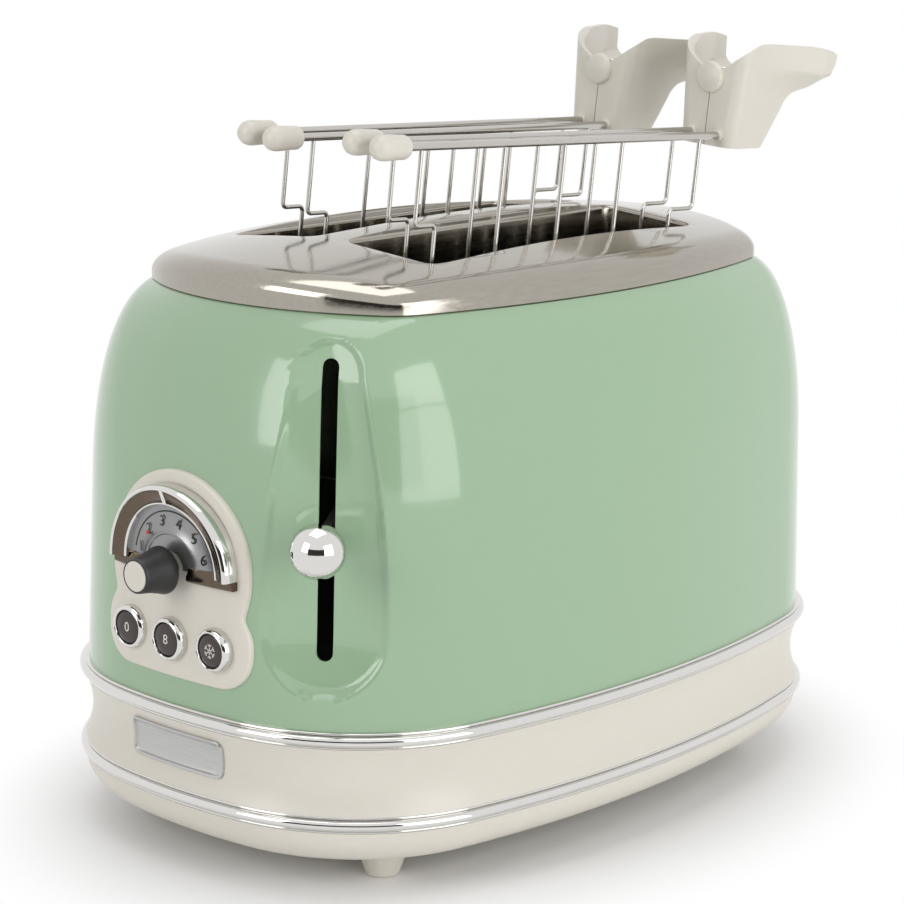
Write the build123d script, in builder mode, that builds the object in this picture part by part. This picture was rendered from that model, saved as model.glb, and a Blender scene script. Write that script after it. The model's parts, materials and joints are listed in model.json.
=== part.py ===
from build123d import *
from math import cos, hypot, radians, sin, sqrt
import os

# Two-slot toaster with two lift-out sandwich tongs, in millimetres.
# The origin is on the table under the middle of the body. +X runs along the bread slots, away from
# the control end, +Y points to the back and +Z is up.

# Plan of the body at its widest straight part: half sizes, and the radii of its bowed sides
half_length = 150.0
half_width = 97.0
end_radius = 211.0
side_radius = 460.0
corner_radius = 69.0

# Heights of the stacked casing parts
foot_height = 11.6
base_height = 14.0
ring_height = 6.0
band_height = 24.6
shell_height = 140.6
rim_height = 8.0
dome_rise = 12.5

# Casing walls and edges
sheet = 1.2
plastic_wall = 2.4
base_inset = 10.8
base_belly = 0.6
base_outer_share = 0.42
base_inner_share = 0.5
base_floor = 2.0
base_wall = 3.8
ring_bulge = 6.6
ring_lip = 4.4
ring_lip_height = 1.1
ring_inner = -4.0
ring_round = 1.7
band_grow = 1.6
band_flare = 2.8

# Shell profile: it leans in a little, then turns over in a round shoulder
shell_grow = 3.0
shell_lean = 0.0435
shoulder_height = 65.6
shoulder_turn = 74.7
shoulder_inset = 26.8
straight_steps = 4
shoulder_steps = 8

# Top plate outline, dome and bread slots
plate_inset_x = 23.0
plate_inset_y = 17.2
plate_end_radius = 100.0
plate_side_radius = 340.0
plate_corner_radius = 21.0
dome_radius_along = 1000.0
dome_radius_across = 320.0
dome_sweep = 20.0
plate_edge_round = 3.0
slot_near_inset = 52.0
slot_far_inset = 48.0
slot_width = 41.5
slot_bridge = 16.6
slot_corner = 5.0
slot_lip_low = 1.0

# Feet
foot_inset_x = 45.5
foot_inset_y = 40.0
foot_top_radius = 10.0
foot_bottom_radius = 6.3
foot_round = 1.2

# Lever slot and its flat surround, on the corner of the control end
lever_angle = 35.0
surround_inset_x = 14.5
surround_inset_y = 40.25
surround_rise = 45.8
surround_lean = 4.0
surround_low_radius = 23.0
surround_low = -12.0
surround_top_radius = 12.5
surround_top = 77.0
surround_mid_half = 20.0
surround_taper = 38.0
surround_reach = 9.0
lever_slot_width = 5.8
lever_slot_rise = 23.4
lever_slot_height = 104.5

# Control panel, dial, knob and buttons
panel_thickness = 2.0
dial_rise = 49.9
panel_circle_radius = 34.5
panel_lobe_half = 36.0
panel_lobe_rise = 10.1
panel_lobe_height = 28.7
panel_lobe_round = 13.0
panel_notch_round = 3.0
panel_inside = 30.0
shell_hole_wider = 0.9
bezel_radius = 30.0
bezel_inner = 23.0
bezel_height = 6.3
bezel_bar = 3.0
dial_plate_thickness = 1.0
knob_base_radius = 8.6
knob_neck_radius = 6.8
knob_tip_radius = 6.2
knob_length = 13.2
knob_stand = 4.0
knob_gap = 0.4
knob_side_gap = 0.5
knob_grip = 10.0
knob_waist = 0.55
knob_edge_round = 0.4
knob_cap_radius = 5.3
knob_cap_sink = 1.0
knob_cap_rise = 0.2
shaft_radius = 3.0
shaft_seat = 5.0
control_body_radius = 8.0
control_body_length = 8.0
button_rise = 24.1
button_pitch = 21.3
button_ring_radius = 8.0
button_radius = 5.9
button_clearance = 0.3
button_ring_height = 3.3
button_ring_round = 0.7
button_face_sink = 0.4
button_face_round = 1.2
button_travel = 2.0
button_collar_gap = 1.6
button_collar_wider = 2.0
button_collar_height = 1.2
button_stem_radius = 2.0
switch_size = 8.0
switch_half_width = 6.0
badge_half_length = 23.0
badge_height = 14.0
badge_rise = 6.8
badge_thickness = 1.2
badge_round = 2.5
board_inset = 18.0
board_thickness = 1.6
board_half_width = 38.0
board_height = 83.8

# Chassis, end frames, heating elements and guards
chassis_drop = 4.2
chassis_thickness = 1.2
chassis_edge_gap = 1.0
crumb_opening_half = 17.8
post_inset_x = 38.0
post_inset_y = 37.0
post_radius = 4.5
screw_radius = 1.8
screw_length = 14.0
screw_bore_depth = 16.0
screw_head_radius = 3.6
screw_head_height = 2.2
screw_slot_half = 2.6
screw_slot_width = 0.9
screw_slot_depth = 1.0
frame_near_inset = 58.0
frame_far_inset = 53.0
frame_half_width = 62.0
frame_thickness = 1.2
frame_top_gap = 6.8
frame_window_room = 3.0
frame_window_side = 1.0
frame_tab_half = 10.0
mica_thickness = 1.0
mica_offset = 26.45
mica_margin_low = 6.8
mica_margin_top = 6.0
ribbon_width = 1.6
ribbon_thickness = 0.4
ribbon_margin = 8.0
ribbon_turns = 10
guard_offset = 20.2
guard_radius = 0.8
guard_upright_radius = 0.6
guard_cross_radius = 0.65
guard_cross_inset = 12.0
guard_cross_half = 21.6
guard_cross_drop = 0.7
guard_count = 7
guard_margin_top = 3.0

# Carriage, guide, spring and magnet
lever_rise = 66.6
lever_ball_radius = 9.6
lever_ball_reach = 16.5
lever_arm_height = 9.0
lever_arm_thickness = 3.0
lever_arm_sink = 3.8
lever_down = 35.0
lever_up = 53.0
rest_rise = 0.7
rest_thickness = 1.6
rest_half_width = 10.0
rest_tongue_half = 3.5
rest_rib_height = 9.0
rest_end_gap = 6.0
carriage_inset = 50.0
carriage_thickness = 2.0
carriage_half_width = 38.0
carriage_hang = 10.0
carriage_height = 22.0
guide_inset = 42.0
guide_radius = 3.0
guide_seat = 8.0
running_clearance = 0.06
sleeve_radius = 6.0
sleeve_height = 20.0
sleeve_gap = 0.3
spring_radius = 5.0
spring_wire = 0.6
spring_pitch = 4.0
armature_size = 14.0
armature_height = 6.0
armature_y = 22.0
magnet_gap = 0.3
magnet_foot = 3.0
magnet_core_radius = 3.1
magnet_coil_radius = 6.7
magnet_coil_gap = 2.0

# Crumb tray, its front and the cord gland
tray_near_inset = 58.0
tray_far_inset = 16.0
tray_half_width = 52.0
tray_rise = 2.4
tray_height = 10.0
tray_sheet = 1.0
tray_gap = 0.4
runner_y = 46.0
runner_half_width = 1.5
runner_end_gap = 7.0
gland_x = 0.0
gland_rise = 14.4
gland_radius = 6.5
gland_bore = 3.6
gland_flange = 9.0
gland_flange_height = 3.0
gland_nose = 6.0

# Sandwich tongs: two alike, each placed by its own frame
tong_gap = 13.0
rod_radius = 1.5
wire_radius = 0.8
wire_count = 5
wire_first = 14.5
wire_room = 21.0
jog_drop = 28.2
jog_near = 4.0
jog_far_reach = 14.0
handle_reach = 25.5
jog_round = 2.0
cap_radius = 4.7
cap_length = 16.0
cap_start = -20.2
cap_grip = 10.0
cap_end_round = 3.4
cap_mouth_round = 0.8
hook_length = 4.6
handle_wall = 2.4
handle_low = -4.5
handle_top = 37.0
handle_low_half = 13.4
handle_mid_half = 15.4
handle_top_half = 17.0
handle_top_edge = 3.0
handle_low_depth = 17.0
handle_belly_depth = 22.0
handle_belly_height = 12.0
handle_depth = 43.0
handle_end_height = 8.0
handle_notch_rise = 4.0
wing_half = 29.5
wing_thickness = 3.0
wing_drop = 9.0
wing_start_out = 1.0
wing_root_rise = 0.4
pivot_height = 22.0
pivot_radius = 2.4
pivot_head_radius = 5.6
pivot_head_height = 2.4
pivot_head_round = 1.0
pivot_end = 13.0
pivot_stop = 1.2
lug_radius = 7.5
lug_gap = 0.3
lug_clearance = 0.06
lug_arm_half = 4.5
lug_arm_end_gap = 1.0
coil_radius = 3.5
coil_wire = 0.5
coil_pitch = 1.35
coil_turns = 4
tong_seat_gap = 0.3
front_tong_start = -5.6
front_tong_side = -10.45
front_tong_rise = 34.9
front_tong_lean = 3.7
front_tong_tilt = 2.43
front_tong_turn = -1.69
rear_tong_start = 1.5
rear_tong_side = -9.55
rear_tong_rise = 33.1
rear_tong_lean = 4.5
rear_tong_tilt = 2.13
rear_tong_turn = -1.0

# How far a cutting tool runs past what it cuts
over = 20.0

# Heights that follow from the stack
base_z = foot_height
lower_ring_z = base_z + base_height
band_z = lower_ring_z + ring_height
upper_ring_z = band_z + band_height
shell_z = upper_ring_z + ring_height
plate_z = shell_z + shell_height
dome_z = plate_z + rim_height + dome_rise
shoulder_start = shell_height - shoulder_height
shoulder_drop = shoulder_height / sin(radians(shoulder_turn))
surround_z = shell_z + surround_rise
lever_slot_bottom = shell_z + lever_slot_rise
lever_slot_top = lever_slot_bottom + lever_slot_height
dial_z = shell_z + dial_rise
panel_lobe_low = shell_z + panel_lobe_rise
panel_lobe_top = panel_lobe_low + panel_lobe_height
button_z = shell_z + button_rise
badge_z = band_z + badge_rise + badge_height / 2
chassis_z = shell_z - chassis_drop
chassis_top = chassis_z + chassis_thickness
board_top = chassis_top + board_height
frame_top = plate_z - frame_top_gap
mica_low = chassis_top + mica_margin_low
mica_top = frame_top - mica_margin_top
guard_top = frame_top - guard_margin_top
lever_z = shell_z + lever_rise
rest_top = lever_z + rest_rise
carriage_low = rest_top - rest_thickness - carriage_hang
carriage_top = carriage_low + carriage_height
magnet_top = carriage_low - lever_down - magnet_gap
tray_low = band_z + tray_rise
tray_top = tray_low + tray_height
gland_z = band_z + gland_rise

# Places that follow from the plan
plate_half_length = half_length - plate_inset_x
plate_half_width = half_width - plate_inset_y
slot_start = slot_near_inset - plate_half_length
slot_end = plate_half_length - slot_far_inset
slot_y = (slot_bridge + slot_width) / 2
wire_last = wire_first + slot_end - slot_start - wire_room
jog_far = wire_last + jog_far_reach
tong_length = wire_last + handle_reach
foot_x = half_length - foot_inset_x
foot_y = half_width - foot_inset_y
surround_x = surround_inset_x - half_length
surround_y = surround_inset_y - half_width
board_x = board_inset - half_length
board_face_x = board_x - board_thickness
switch_face_x = board_face_x - switch_size
post_x = half_length - post_inset_x
post_y = half_width - post_inset_y
frame_start = frame_near_inset - half_length
frame_end = half_length - frame_far_inset
mica_y = slot_y + mica_offset
carriage_x = carriage_inset - half_length
guide_x = guide_inset - half_length
tray_start = tray_near_inset - half_length
tray_end = half_length - tray_far_inset
front_tong_x = slot_start + front_tong_start
front_tong_y = front_tong_side - slot_y
front_tong_z = dome_z + front_tong_rise
rear_tong_x = slot_start + rear_tong_start
rear_tong_y = slot_y + rear_tong_side
rear_tong_z = dome_z + rear_tong_rise


def bowed_outline(length, width, end_r, side_r, corner_r):
    """Closed face of eight arcs: bowed ends and sides joined by round corners."""
    end_x = length - end_r
    side_y = width - side_r
    reach_end = end_r - corner_r
    reach_side = side_r - corner_r
    span = hypot(end_x, side_y)
    along = (reach_end**2 - reach_side**2 + span**2) / (2 * span)
    off = sqrt(reach_end**2 - along**2)
    ux, uy = -end_x / span, side_y / span
    centre = Vector(end_x + ux * along - uy * off, uy * along + ux * off)
    end_join = Vector(end_x, 0) + (centre - Vector(end_x, 0)) * (end_r / reach_end)
    side_join = Vector(0, side_y) + (centre - Vector(0, side_y)) * (side_r / reach_side)
    middle = centre + ((end_join + side_join) / 2 - centre).normalized() * corner_r

    def flip(point, sx, sy):
        return (point.X * sx, point.Y * sy)

    with BuildSketch() as face:
        with BuildLine():
            for sx, sy in ((1, 1), (-1, -1)):
                ThreePointArc(flip(end_join, sx, -sy), (length * sx, 0), flip(end_join, sx, sy))
                ThreePointArc(flip(end_join, sx, sy), flip(middle, sx, sy), flip(side_join, sx, sy))
                ThreePointArc(flip(side_join, sx, sy), (0, width * sy), flip(side_join, -sx, sy))
                ThreePointArc(flip(side_join, -sx, sy), flip(middle, -sx, sy), flip(end_join, -sx, sy))
        make_face()
    return face.sketch


def grown_outline(grow):
    """The body's plan, moved outwards by grow all round."""
    return bowed_outline(half_length + grow, half_width + grow, end_radius + grow,
                         side_radius + grow, corner_radius + grow)


def shell_sizes(rise, skin):
    """Plan sizes of the shell at a rise above its foot, moved inwards by skin."""
    turn = max(0.0, (rise - shoulder_start) / shoulder_drop)
    inset = shell_lean * rise + shoulder_inset * (1 - sqrt(1 - turn**2))
    top_turn = (shell_height - shoulder_start) / shoulder_drop
    full = shell_lean * shell_height + shoulder_inset * (1 - sqrt(1 - top_turn**2))
    part = inset / full
    low = (half_length, half_width, end_radius, side_radius, corner_radius)
    high = (plate_half_length, plate_half_width, plate_end_radius, plate_side_radius, plate_corner_radius)
    return [(a + shell_grow) * (1 - part) + b * part - skin for a, b in zip(low, high)]


def end_face_x(y, z):
    """Where the shell's control end stands at a height z and a distance y from the middle."""
    sizes = shell_sizes(z - shell_z, 0)
    return -(sizes[0] - sizes[2] + sqrt(sizes[2]**2 - y**2))


def surround_plane(out):
    """Plane of the lever surround's flat face, moved out along its normal; its Y runs up the slot."""
    turn, lean = radians(lever_angle), radians(surround_lean)
    normal = Vector(-cos(turn) * cos(lean), -sin(turn) * cos(lean), sin(lean))
    origin = Vector(surround_x, surround_y, surround_z) + normal * out
    return Plane(origin=origin, x_dir=(sin(turn), -cos(turn), 0), z_dir=normal)


def surround_outline(grow):
    """Egg-shaped face, wide and round below, narrow and round above."""
    low_r, top_r = surround_low_radius + grow, surround_top_radius + grow
    mid = (surround_mid_half + grow, (surround_low + surround_top) / 2)
    with BuildSketch() as face:
        with BuildLine():
            ThreePointArc((-low_r, surround_low), (0, surround_low - low_r), (low_r, surround_low))
            ThreePointArc((low_r, surround_low), mid, (top_r, surround_top))
            ThreePointArc((top_r, surround_top), (0, surround_top + top_r), (-top_r, surround_top))
            ThreePointArc((-top_r, surround_top), (-mid[0], mid[1]), (-low_r, surround_low))
        make_face()
    return face.sketch


def body_form(skin):
    """The shell's outside as a solid, moved inwards by skin, with the flat lever surround on it."""
    rises = [shoulder_start * step / straight_steps for step in range(straight_steps)]
    for step in range(shoulder_steps + 1):
        rises.append(shoulder_start + shoulder_drop * sin(radians(shoulder_turn * step / shoulder_steps)))
    with BuildPart() as form:
        for rise in rises:
            with BuildSketch(Plane.XY.offset(shell_z + rise)):
                add(bowed_outline(*shell_sizes(rise, skin)))
        loft()
        with BuildSketch(surround_plane(-skin)):
            add(surround_outline(-skin))
        extrude(amount=-surround_reach, taper=-surround_taper)
        with BuildSketch(surround_plane(-skin)):
            add(surround_outline(skin))
        extrude(amount=surround_reach, taper=-surround_taper, mode=Mode.SUBTRACT)
    return form.part


def end_plane(x):
    """Upright plane facing out of the control end, its x to the viewer's right and its y up."""
    return Plane(origin=(x, 0, 0), x_dir=(0, -1, 0), z_dir=(-1, 0, 0))


def tube_run(radius, x_from, x_to, y, z):
    """Round bar along X between two stations."""
    with BuildPart() as bar:
        with BuildSketch(Plane(origin=(x_from, y, z), x_dir=(0, -1, 0), z_dir=(-1, 0, 0))):
            Circle(radius)
        extrude(amount=x_from - x_to)
    return bar.part


def block(x_from, x_to, y_from, y_to, z_from, z_to):
    """Plain rectangular solid between two corners."""
    middle = ((x_from + x_to) / 2, (y_from + y_to) / 2, z_from)
    with BuildPart() as solid:
        with BuildSketch(Plane.XY.offset(z_from).move(Location((middle[0], middle[1], 0)))):
            Rectangle(abs(x_to - x_from), abs(y_to - y_from))
        extrude(amount=z_to - z_from)
    return solid.part


def prism(outline, z_from, z_to):
    """Upright solid of a plan outline between two heights."""
    with BuildPart() as solid:
        with BuildSketch(Plane.XY.offset(z_from)):
            add(outline)
        extrude(amount=z_to - z_from)
    return solid.part


def end_prism(outline, x_from, x_to):
    """Solid of an outline seen from the control end, between two stations along X."""
    with BuildPart() as solid:
        with BuildSketch(end_plane(x_from)):
            add(outline)
        extrude(amount=x_from - x_to)
    return solid.part


outer_form = body_form(0)
inner_form = body_form(sheet)
panel_form = body_form(-panel_thickness)

# Stations along X at the control end
panel_face_x = end_face_x(0, dial_z) - panel_thickness
bezel_face_x = panel_face_x - bezel_height
knob_face_x = panel_face_x - dial_plate_thickness - knob_stand
knob_back_x = knob_face_x - knob_grip
knob_tip_x = knob_face_x - knob_length
button_y = (-button_pitch, 0, button_pitch)
button_hole = button_radius + button_clearance
shell_button_hole = button_hole + shell_hole_wider
panel_shaft_hole = shaft_radius + shell_hole_wider
shell_shaft_hole = panel_shaft_hole + shell_hole_wider


def ring_face_x(y):
    """Face of the button ring that stands at a distance y from the middle."""
    return end_face_x(y, button_z) - panel_thickness - button_ring_height


with BuildPart() as foot_form:
    with BuildSketch():
        Circle(foot_bottom_radius)
    with BuildSketch(Plane.XY.offset(foot_height)):
        Circle(foot_top_radius)
    loft()
    fillet(foot_form.faces().sort_by(Axis.Z)[0].edges(), foot_round)

# Base tray: a shallow bowl on four feet, with posts for the chassis and ribs for the crumb tray
with BuildPart() as base_tray:
    for height, grow in ((0, -base_inset), (base_height * base_outer_share, -base_belly),
                         (base_height, ring_lip)):
        with BuildSketch(Plane.XY.offset(base_z + height)):
            add(grown_outline(grow))
    loft()
    for height, grow in ((base_floor, -base_inset), (base_height * base_inner_share, -base_belly),
                         (base_height, ring_lip)):
        with BuildSketch(Plane.XY.offset(base_z + height)):
            add(grown_outline(grow - base_wall))
    loft(mode=Mode.SUBTRACT)
    with BuildSketch(Plane.XY.offset(base_z + base_floor)):
        with GridLocations(2 * post_x, 2 * post_y, 2, 2):
            Circle(post_radius)
    extrude(amount=chassis_z - base_z - base_floor)
    with BuildSketch(Plane.XY.offset(base_z + base_floor)):
        for y in (-runner_y, runner_y):
            with Locations(((tray_start + tray_end) / 2, y)):
                Rectangle(tray_end - tray_start - 2 * runner_end_gap, 2 * runner_half_width)
    extrude(amount=tray_low - base_z - base_floor)
    for sx, sy in ((-1, -1), (-1, 1), (1, -1), (1, 1)):
        add(Pos(sx * foot_x, sy * foot_y, 0) * foot_form.part)
    with BuildSketch(Plane.XY.offset(chassis_z)):
        with GridLocations(2 * post_x, 2 * post_y, 2, 2):
            Circle(screw_radius)
    extrude(amount=-screw_bore_depth, mode=Mode.SUBTRACT)


def trim_ring(low):
    """Chromed ring: a round bead between two thin lips, open in the middle."""
    with BuildPart() as ring:
        with BuildSketch(Plane.XY.offset(low + ring_lip_height)):
            add(grown_outline(ring_bulge))
        extrude(amount=ring_height - 2 * ring_lip_height)
        fillet(ring.faces().filter_by(Axis.Z).edges(), ring_round)
        with BuildSketch(Plane.XY.offset(low)):
            add(grown_outline(ring_lip))
        extrude(amount=ring_height)
        with BuildSketch(Plane.XY.offset(low)):
            add(grown_outline(ring_inner))
        extrude(amount=ring_height, mode=Mode.SUBTRACT)
    return ring.part


with BuildPart() as lower_trim_ring:
    add(trim_ring(lower_ring_z))

with BuildPart() as upper_trim_ring:
    add(trim_ring(upper_ring_z))


def band_form(grow):
    """Solid of the cove band, grown outwards."""
    with BuildPart() as form:
        for part in (0, 0.25, 0.5, 0.75, 1):
            flare = band_flare * (2 * part - 1)**2
            with BuildSketch(Plane.XY.offset(band_z + band_height * part)):
                add(grown_outline(band_grow + flare + grow))
        loft()
    return form.part


band_outer = band_form(0)
band_inner = prism(grown_outline(band_grow - plastic_wall), band_z, upper_ring_z)
badge_layer = band_form(badge_thickness)
tray_window = block(tray_end, half_length + over, -tray_half_width - tray_gap,
                    tray_half_width + tray_gap, tray_low - tray_gap, tray_top + tray_gap)

with BuildPart() as cream_band:
    add(band_outer)
    add(band_inner, mode=Mode.SUBTRACT)
    add(tray_window, mode=Mode.SUBTRACT)
    with BuildSketch(Plane.XZ.offset(over - half_width)):
        with Locations((gland_x, gland_z)):
            Circle(gland_radius)
    extrude(amount=-2 * over, mode=Mode.SUBTRACT)

with BuildPart() as badge_plate:
    with BuildSketch(end_plane(-half_length - over)):
        with Locations((0, badge_z)):
            RectangleRounded(2 * badge_half_length, badge_height, badge_round)
    extrude(amount=-2 * over)
    add(badge_layer, mode=Mode.INTERSECT)
    add(band_outer, mode=Mode.SUBTRACT)

# Outer shell with the lever slot and the holes behind the panel
with BuildPart() as outer_shell:
    add(outer_form)
    add(inner_form, mode=Mode.SUBTRACT)
    slot_run = (lever_slot_top - lever_slot_bottom) / cos(radians(surround_lean))
    slot_mid = ((lever_slot_top + lever_slot_bottom) / 2 - surround_z) / cos(radians(surround_lean))
    with BuildSketch(surround_plane(over)):
        with Locations((0, slot_mid)):
            SlotOverall(slot_run, lever_slot_width, rotation=90)
    extrude(amount=-2 * over, mode=Mode.SUBTRACT)
    with BuildSketch(end_plane(-half_length - over)):
        with Locations((0, dial_z)):
            Circle(shell_shaft_hole)
        with Locations(*[(y, button_z) for y in button_y]):
            Circle(shell_button_hole)
    extrude(amount=-2 * over, mode=Mode.SUBTRACT)


# Top plate: a domed pan with two slots and their folded-down walls
def dome_form(skin):
    """Solid under the domed face, lowered by skin, cut to the plate's outline."""
    top = dome_z - skin
    across, along = dome_radius_across - skin, dome_radius_along - skin
    reach = plate_half_width + over
    edge = top - across + sqrt(across**2 - reach**2)
    pivot = Axis((0, 0, top - along), (0, 1, 0))
    with BuildPart() as form:
        with BuildSketch(Plane.YZ):
            with BuildLine():
                ThreePointArc((-reach, edge), (0, top), (reach, edge))
                Polyline((reach, edge), (reach, shell_z), (-reach, shell_z), (-reach, edge))
            make_face()
        revolve(axis=pivot, revolution_arc=dome_sweep)
    sizes = (plate_half_length, plate_half_width, plate_end_radius, plate_side_radius, plate_corner_radius)
    block_form = prism(bowed_outline(*[size - skin for size in sizes]), plate_z, dome_z + over)
    cut = block_form & form.part.rotate(pivot, -dome_sweep / 2)
    with BuildPart() as plate:
        add(cut)
        fillet(plate.faces().sort_by(Axis.Z)[-1].edges(), plate_edge_round - skin)
    return plate.part


dome_outer = dome_form(0)
dome_inner = dome_form(sheet)


def slot_outline(grow):
    """Plan of the rear bread slot, grown by a wall."""
    with BuildSketch() as face:
        with Locations(((slot_start + slot_end) / 2, slot_y)):
            RectangleRounded(slot_end - slot_start + 2 * grow, slot_width + 2 * grow, slot_corner + grow)
    return face.sketch


with BuildPart() as top_plate:
    add(dome_outer)
    add(dome_inner, mode=Mode.SUBTRACT)
    add(prism(slot_outline(sheet), plate_z + slot_lip_low, dome_z + over) & dome_outer)
    add(prism(slot_outline(0), plate_z - over, dome_z + over), mode=Mode.SUBTRACT)
    with BuildSketch(Plane.XY.offset(plate_z - over)):
        Rectangle(4 * plate_half_length, 2 * plate_half_width, align=(Align.CENTER, Align.MAX))
    extrude(amount=dome_z - plate_z + 2 * over, mode=Mode.SUBTRACT)
    mirror(about=Plane.XZ)


# Control panel, dial and bezel
with BuildSketch() as panel_face:
    with Locations((0, dial_z)):
        Circle(panel_circle_radius)
    with Locations((0, (panel_lobe_low + panel_lobe_top) / 2)):
        RectangleRounded(2 * panel_lobe_half, panel_lobe_top - panel_lobe_low, panel_lobe_round)
    low = panel_lobe_top - panel_lobe_round
    notches = [v for v in panel_face.vertices() if low < v.Y < panel_lobe_top]
    fillet(notches, panel_notch_round)

with BuildPart() as control_panel:
    add(end_prism(panel_face.sketch, -half_length - over, panel_inside - half_length))
    add(panel_form, mode=Mode.INTERSECT)
    add(outer_form, mode=Mode.SUBTRACT)
    with BuildSketch(end_plane(-half_length - over)):
        with Locations((0, dial_z)):
            Circle(panel_shaft_hole)
        with Locations(*[(y, button_z) for y in button_y]):
            Circle(button_hole)
    extrude(amount=-over - panel_inside, mode=Mode.SUBTRACT)

with BuildSketch() as dial_window:
    with Locations((0, dial_z)):
        Circle(bezel_inner)
    with Locations((0, dial_z - bezel_inner)):
        Rectangle(2 * bezel_inner, 2 * bezel_inner, mode=Mode.SUBTRACT)

with BuildPart() as dial_plate:
    add(end_prism(dial_window.sketch, panel_face_x - dial_plate_thickness, -half_length + over))
    add(panel_form, mode=Mode.SUBTRACT)
    add(tube_run(panel_shaft_hole, panel_face_x - over, -half_length + over, 0, dial_z), mode=Mode.SUBTRACT)

with BuildSketch() as bezel_outline:
    with Locations((0, dial_z)):
        Circle(bezel_radius)
    with Locations((0, dial_z - bezel_bar - bezel_radius)):
        Rectangle(2 * bezel_radius, 2 * bezel_radius, mode=Mode.SUBTRACT)
    add(dial_window.sketch, mode=Mode.SUBTRACT)

with BuildPart() as dial_bezel:
    add(end_prism(bezel_outline.sketch, bezel_face_x, -half_length + over))
    add(panel_form, mode=Mode.SUBTRACT)
    add(tube_run(panel_shaft_hole, bezel_face_x - over, -half_length + over, 0, dial_z), mode=Mode.SUBTRACT)
    add(tube_run(knob_base_radius + knob_side_gap, bezel_face_x - over, knob_face_x + knob_gap, 0, dial_z),
        mode=Mode.SUBTRACT)

# Browning knob on its shaft: a waisted cone with a disc sunk in its end
with BuildPart() as browning_knob:
    with BuildSketch(Plane(origin=(knob_face_x, 0, dial_z), x_dir=(-1, 0, 0), z_dir=(0, 1, 0))):
        with BuildLine():
            Line((0, 0), (0, knob_base_radius))
            ThreePointArc((0, knob_base_radius), (knob_length * knob_waist, knob_neck_radius),
                          (knob_length, knob_tip_radius))
            Polyline((knob_length, knob_tip_radius), (knob_length, 0), (0, 0))
        make_face()
    revolve(axis=Axis((knob_face_x, 0, dial_z), (1, 0, 0)))
    fillet(browning_knob.edges().group_by(Axis.X)[0], knob_edge_round)
    add(tube_run(knob_cap_radius, knob_tip_x - over, knob_tip_x + knob_cap_sink, 0, dial_z),
        mode=Mode.SUBTRACT)
    add(tube_run(shaft_radius, knob_back_x, knob_face_x + over, 0, dial_z), mode=Mode.SUBTRACT)

with BuildPart() as knob_cap:
    add(tube_run(knob_cap_radius - running_clearance, knob_tip_x - knob_cap_rise,
                 knob_tip_x + knob_cap_sink, 0, dial_z))
    fillet(knob_cap.faces().sort_by(Axis.X)[0].edges(), knob_edge_round)

control_start_x = board_face_x - control_body_length
with BuildPart() as knob_shaft:
    add(tube_run(shaft_radius, knob_back_x, control_start_x + shaft_seat, 0, dial_z))

with BuildPart() as browning_control:
    add(tube_run(control_body_radius, control_start_x, board_face_x, 0, dial_z))
    add(tube_run(shaft_radius + running_clearance, control_start_x - over,
                 control_start_x + shaft_seat + knob_gap, 0, dial_z), mode=Mode.SUBTRACT)

# Push buttons in their rings, and the switches behind them
button_rings, buttons, switches = {}, {}, []
for name, y in (("left", button_y[2]), ("middle", button_y[1]), ("right", button_y[0])):
    face_x = ring_face_x(y)
    collar_x = end_face_x(y, button_z) + sheet + button_collar_gap
    with BuildPart() as ring:
        add(tube_run(button_ring_radius, face_x, face_x + over, y, button_z))
        add(panel_form, mode=Mode.SUBTRACT)
        add(tube_run(button_hole, face_x - over, face_x + 2 * over, y, button_z), mode=Mode.SUBTRACT)
        fillet(ring.faces().sort_by(Axis.X)[0].edges(), button_ring_round)
    with BuildPart() as button:
        add(tube_run(button_radius, face_x + button_face_sink, collar_x, y, button_z))
        fillet(button.faces().sort_by(Axis.X)[0].edges(), button_face_round)
        add(tube_run(button_hole + button_collar_wider, collar_x, collar_x + button_collar_height, y,
                     button_z))
        add(tube_run(button_stem_radius, collar_x, switch_face_x - button_travel - button_clearance, y,
                     button_z))
    button_rings[f"button_ring_{name}"] = ring.part
    buttons[f"push_button_{name}"] = button.part
    switches.append(block(switch_face_x, board_face_x, y - switch_half_width, y + switch_half_width,
                          button_z - switch_size / 2, button_z + switch_size / 2))

with BuildPart() as circuit_board:
    add(block(board_face_x, board_x, -board_half_width, board_half_width, chassis_top, board_top))
    add(switches)

# Chassis plate on the posts, with a crumb opening under each bread slot
with BuildPart() as chassis_plate:
    with BuildSketch(Plane.XY.offset(chassis_z)):
        add(grown_outline(ring_inner - chassis_edge_gap))
        with Locations(*[((slot_start + slot_end) / 2, sy * slot_y) for sy in (-1, 1)]):
            Rectangle(slot_end - slot_start, 2 * crumb_opening_half, mode=Mode.SUBTRACT)
        with GridLocations(2 * post_x, 2 * post_y, 2, 2):
            Circle(screw_radius + running_clearance, mode=Mode.SUBTRACT)
    extrude(amount=chassis_thickness)

with BuildPart() as chassis_screws:
    with BuildSketch(Plane.XY.offset(chassis_top)):
        with GridLocations(2 * post_x, 2 * post_y, 2, 2):
            Circle(screw_head_radius)
    extrude(amount=screw_head_height)
    with BuildSketch(Plane.XY.offset(chassis_top)):
        with GridLocations(2 * post_x, 2 * post_y, 2, 2):
            Circle(screw_radius)
    extrude(amount=-screw_length)
    with BuildSketch(Plane.XY.offset(chassis_top + screw_head_height)):
        with GridLocations(2 * post_x, 2 * post_y, 2, 2):
            Rectangle(2 * screw_slot_half, screw_slot_width)
            Rectangle(screw_slot_width, 2 * screw_slot_half)
    extrude(amount=-screw_slot_depth, mode=Mode.SUBTRACT)

# End frame, with windows that the bread rests travel in and the guide rod's top seat
window_low = rest_top - rest_rib_height - lever_down - frame_window_room
window_high = rest_top + lever_up + frame_window_room
window_half = rest_tongue_half + frame_window_side

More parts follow.
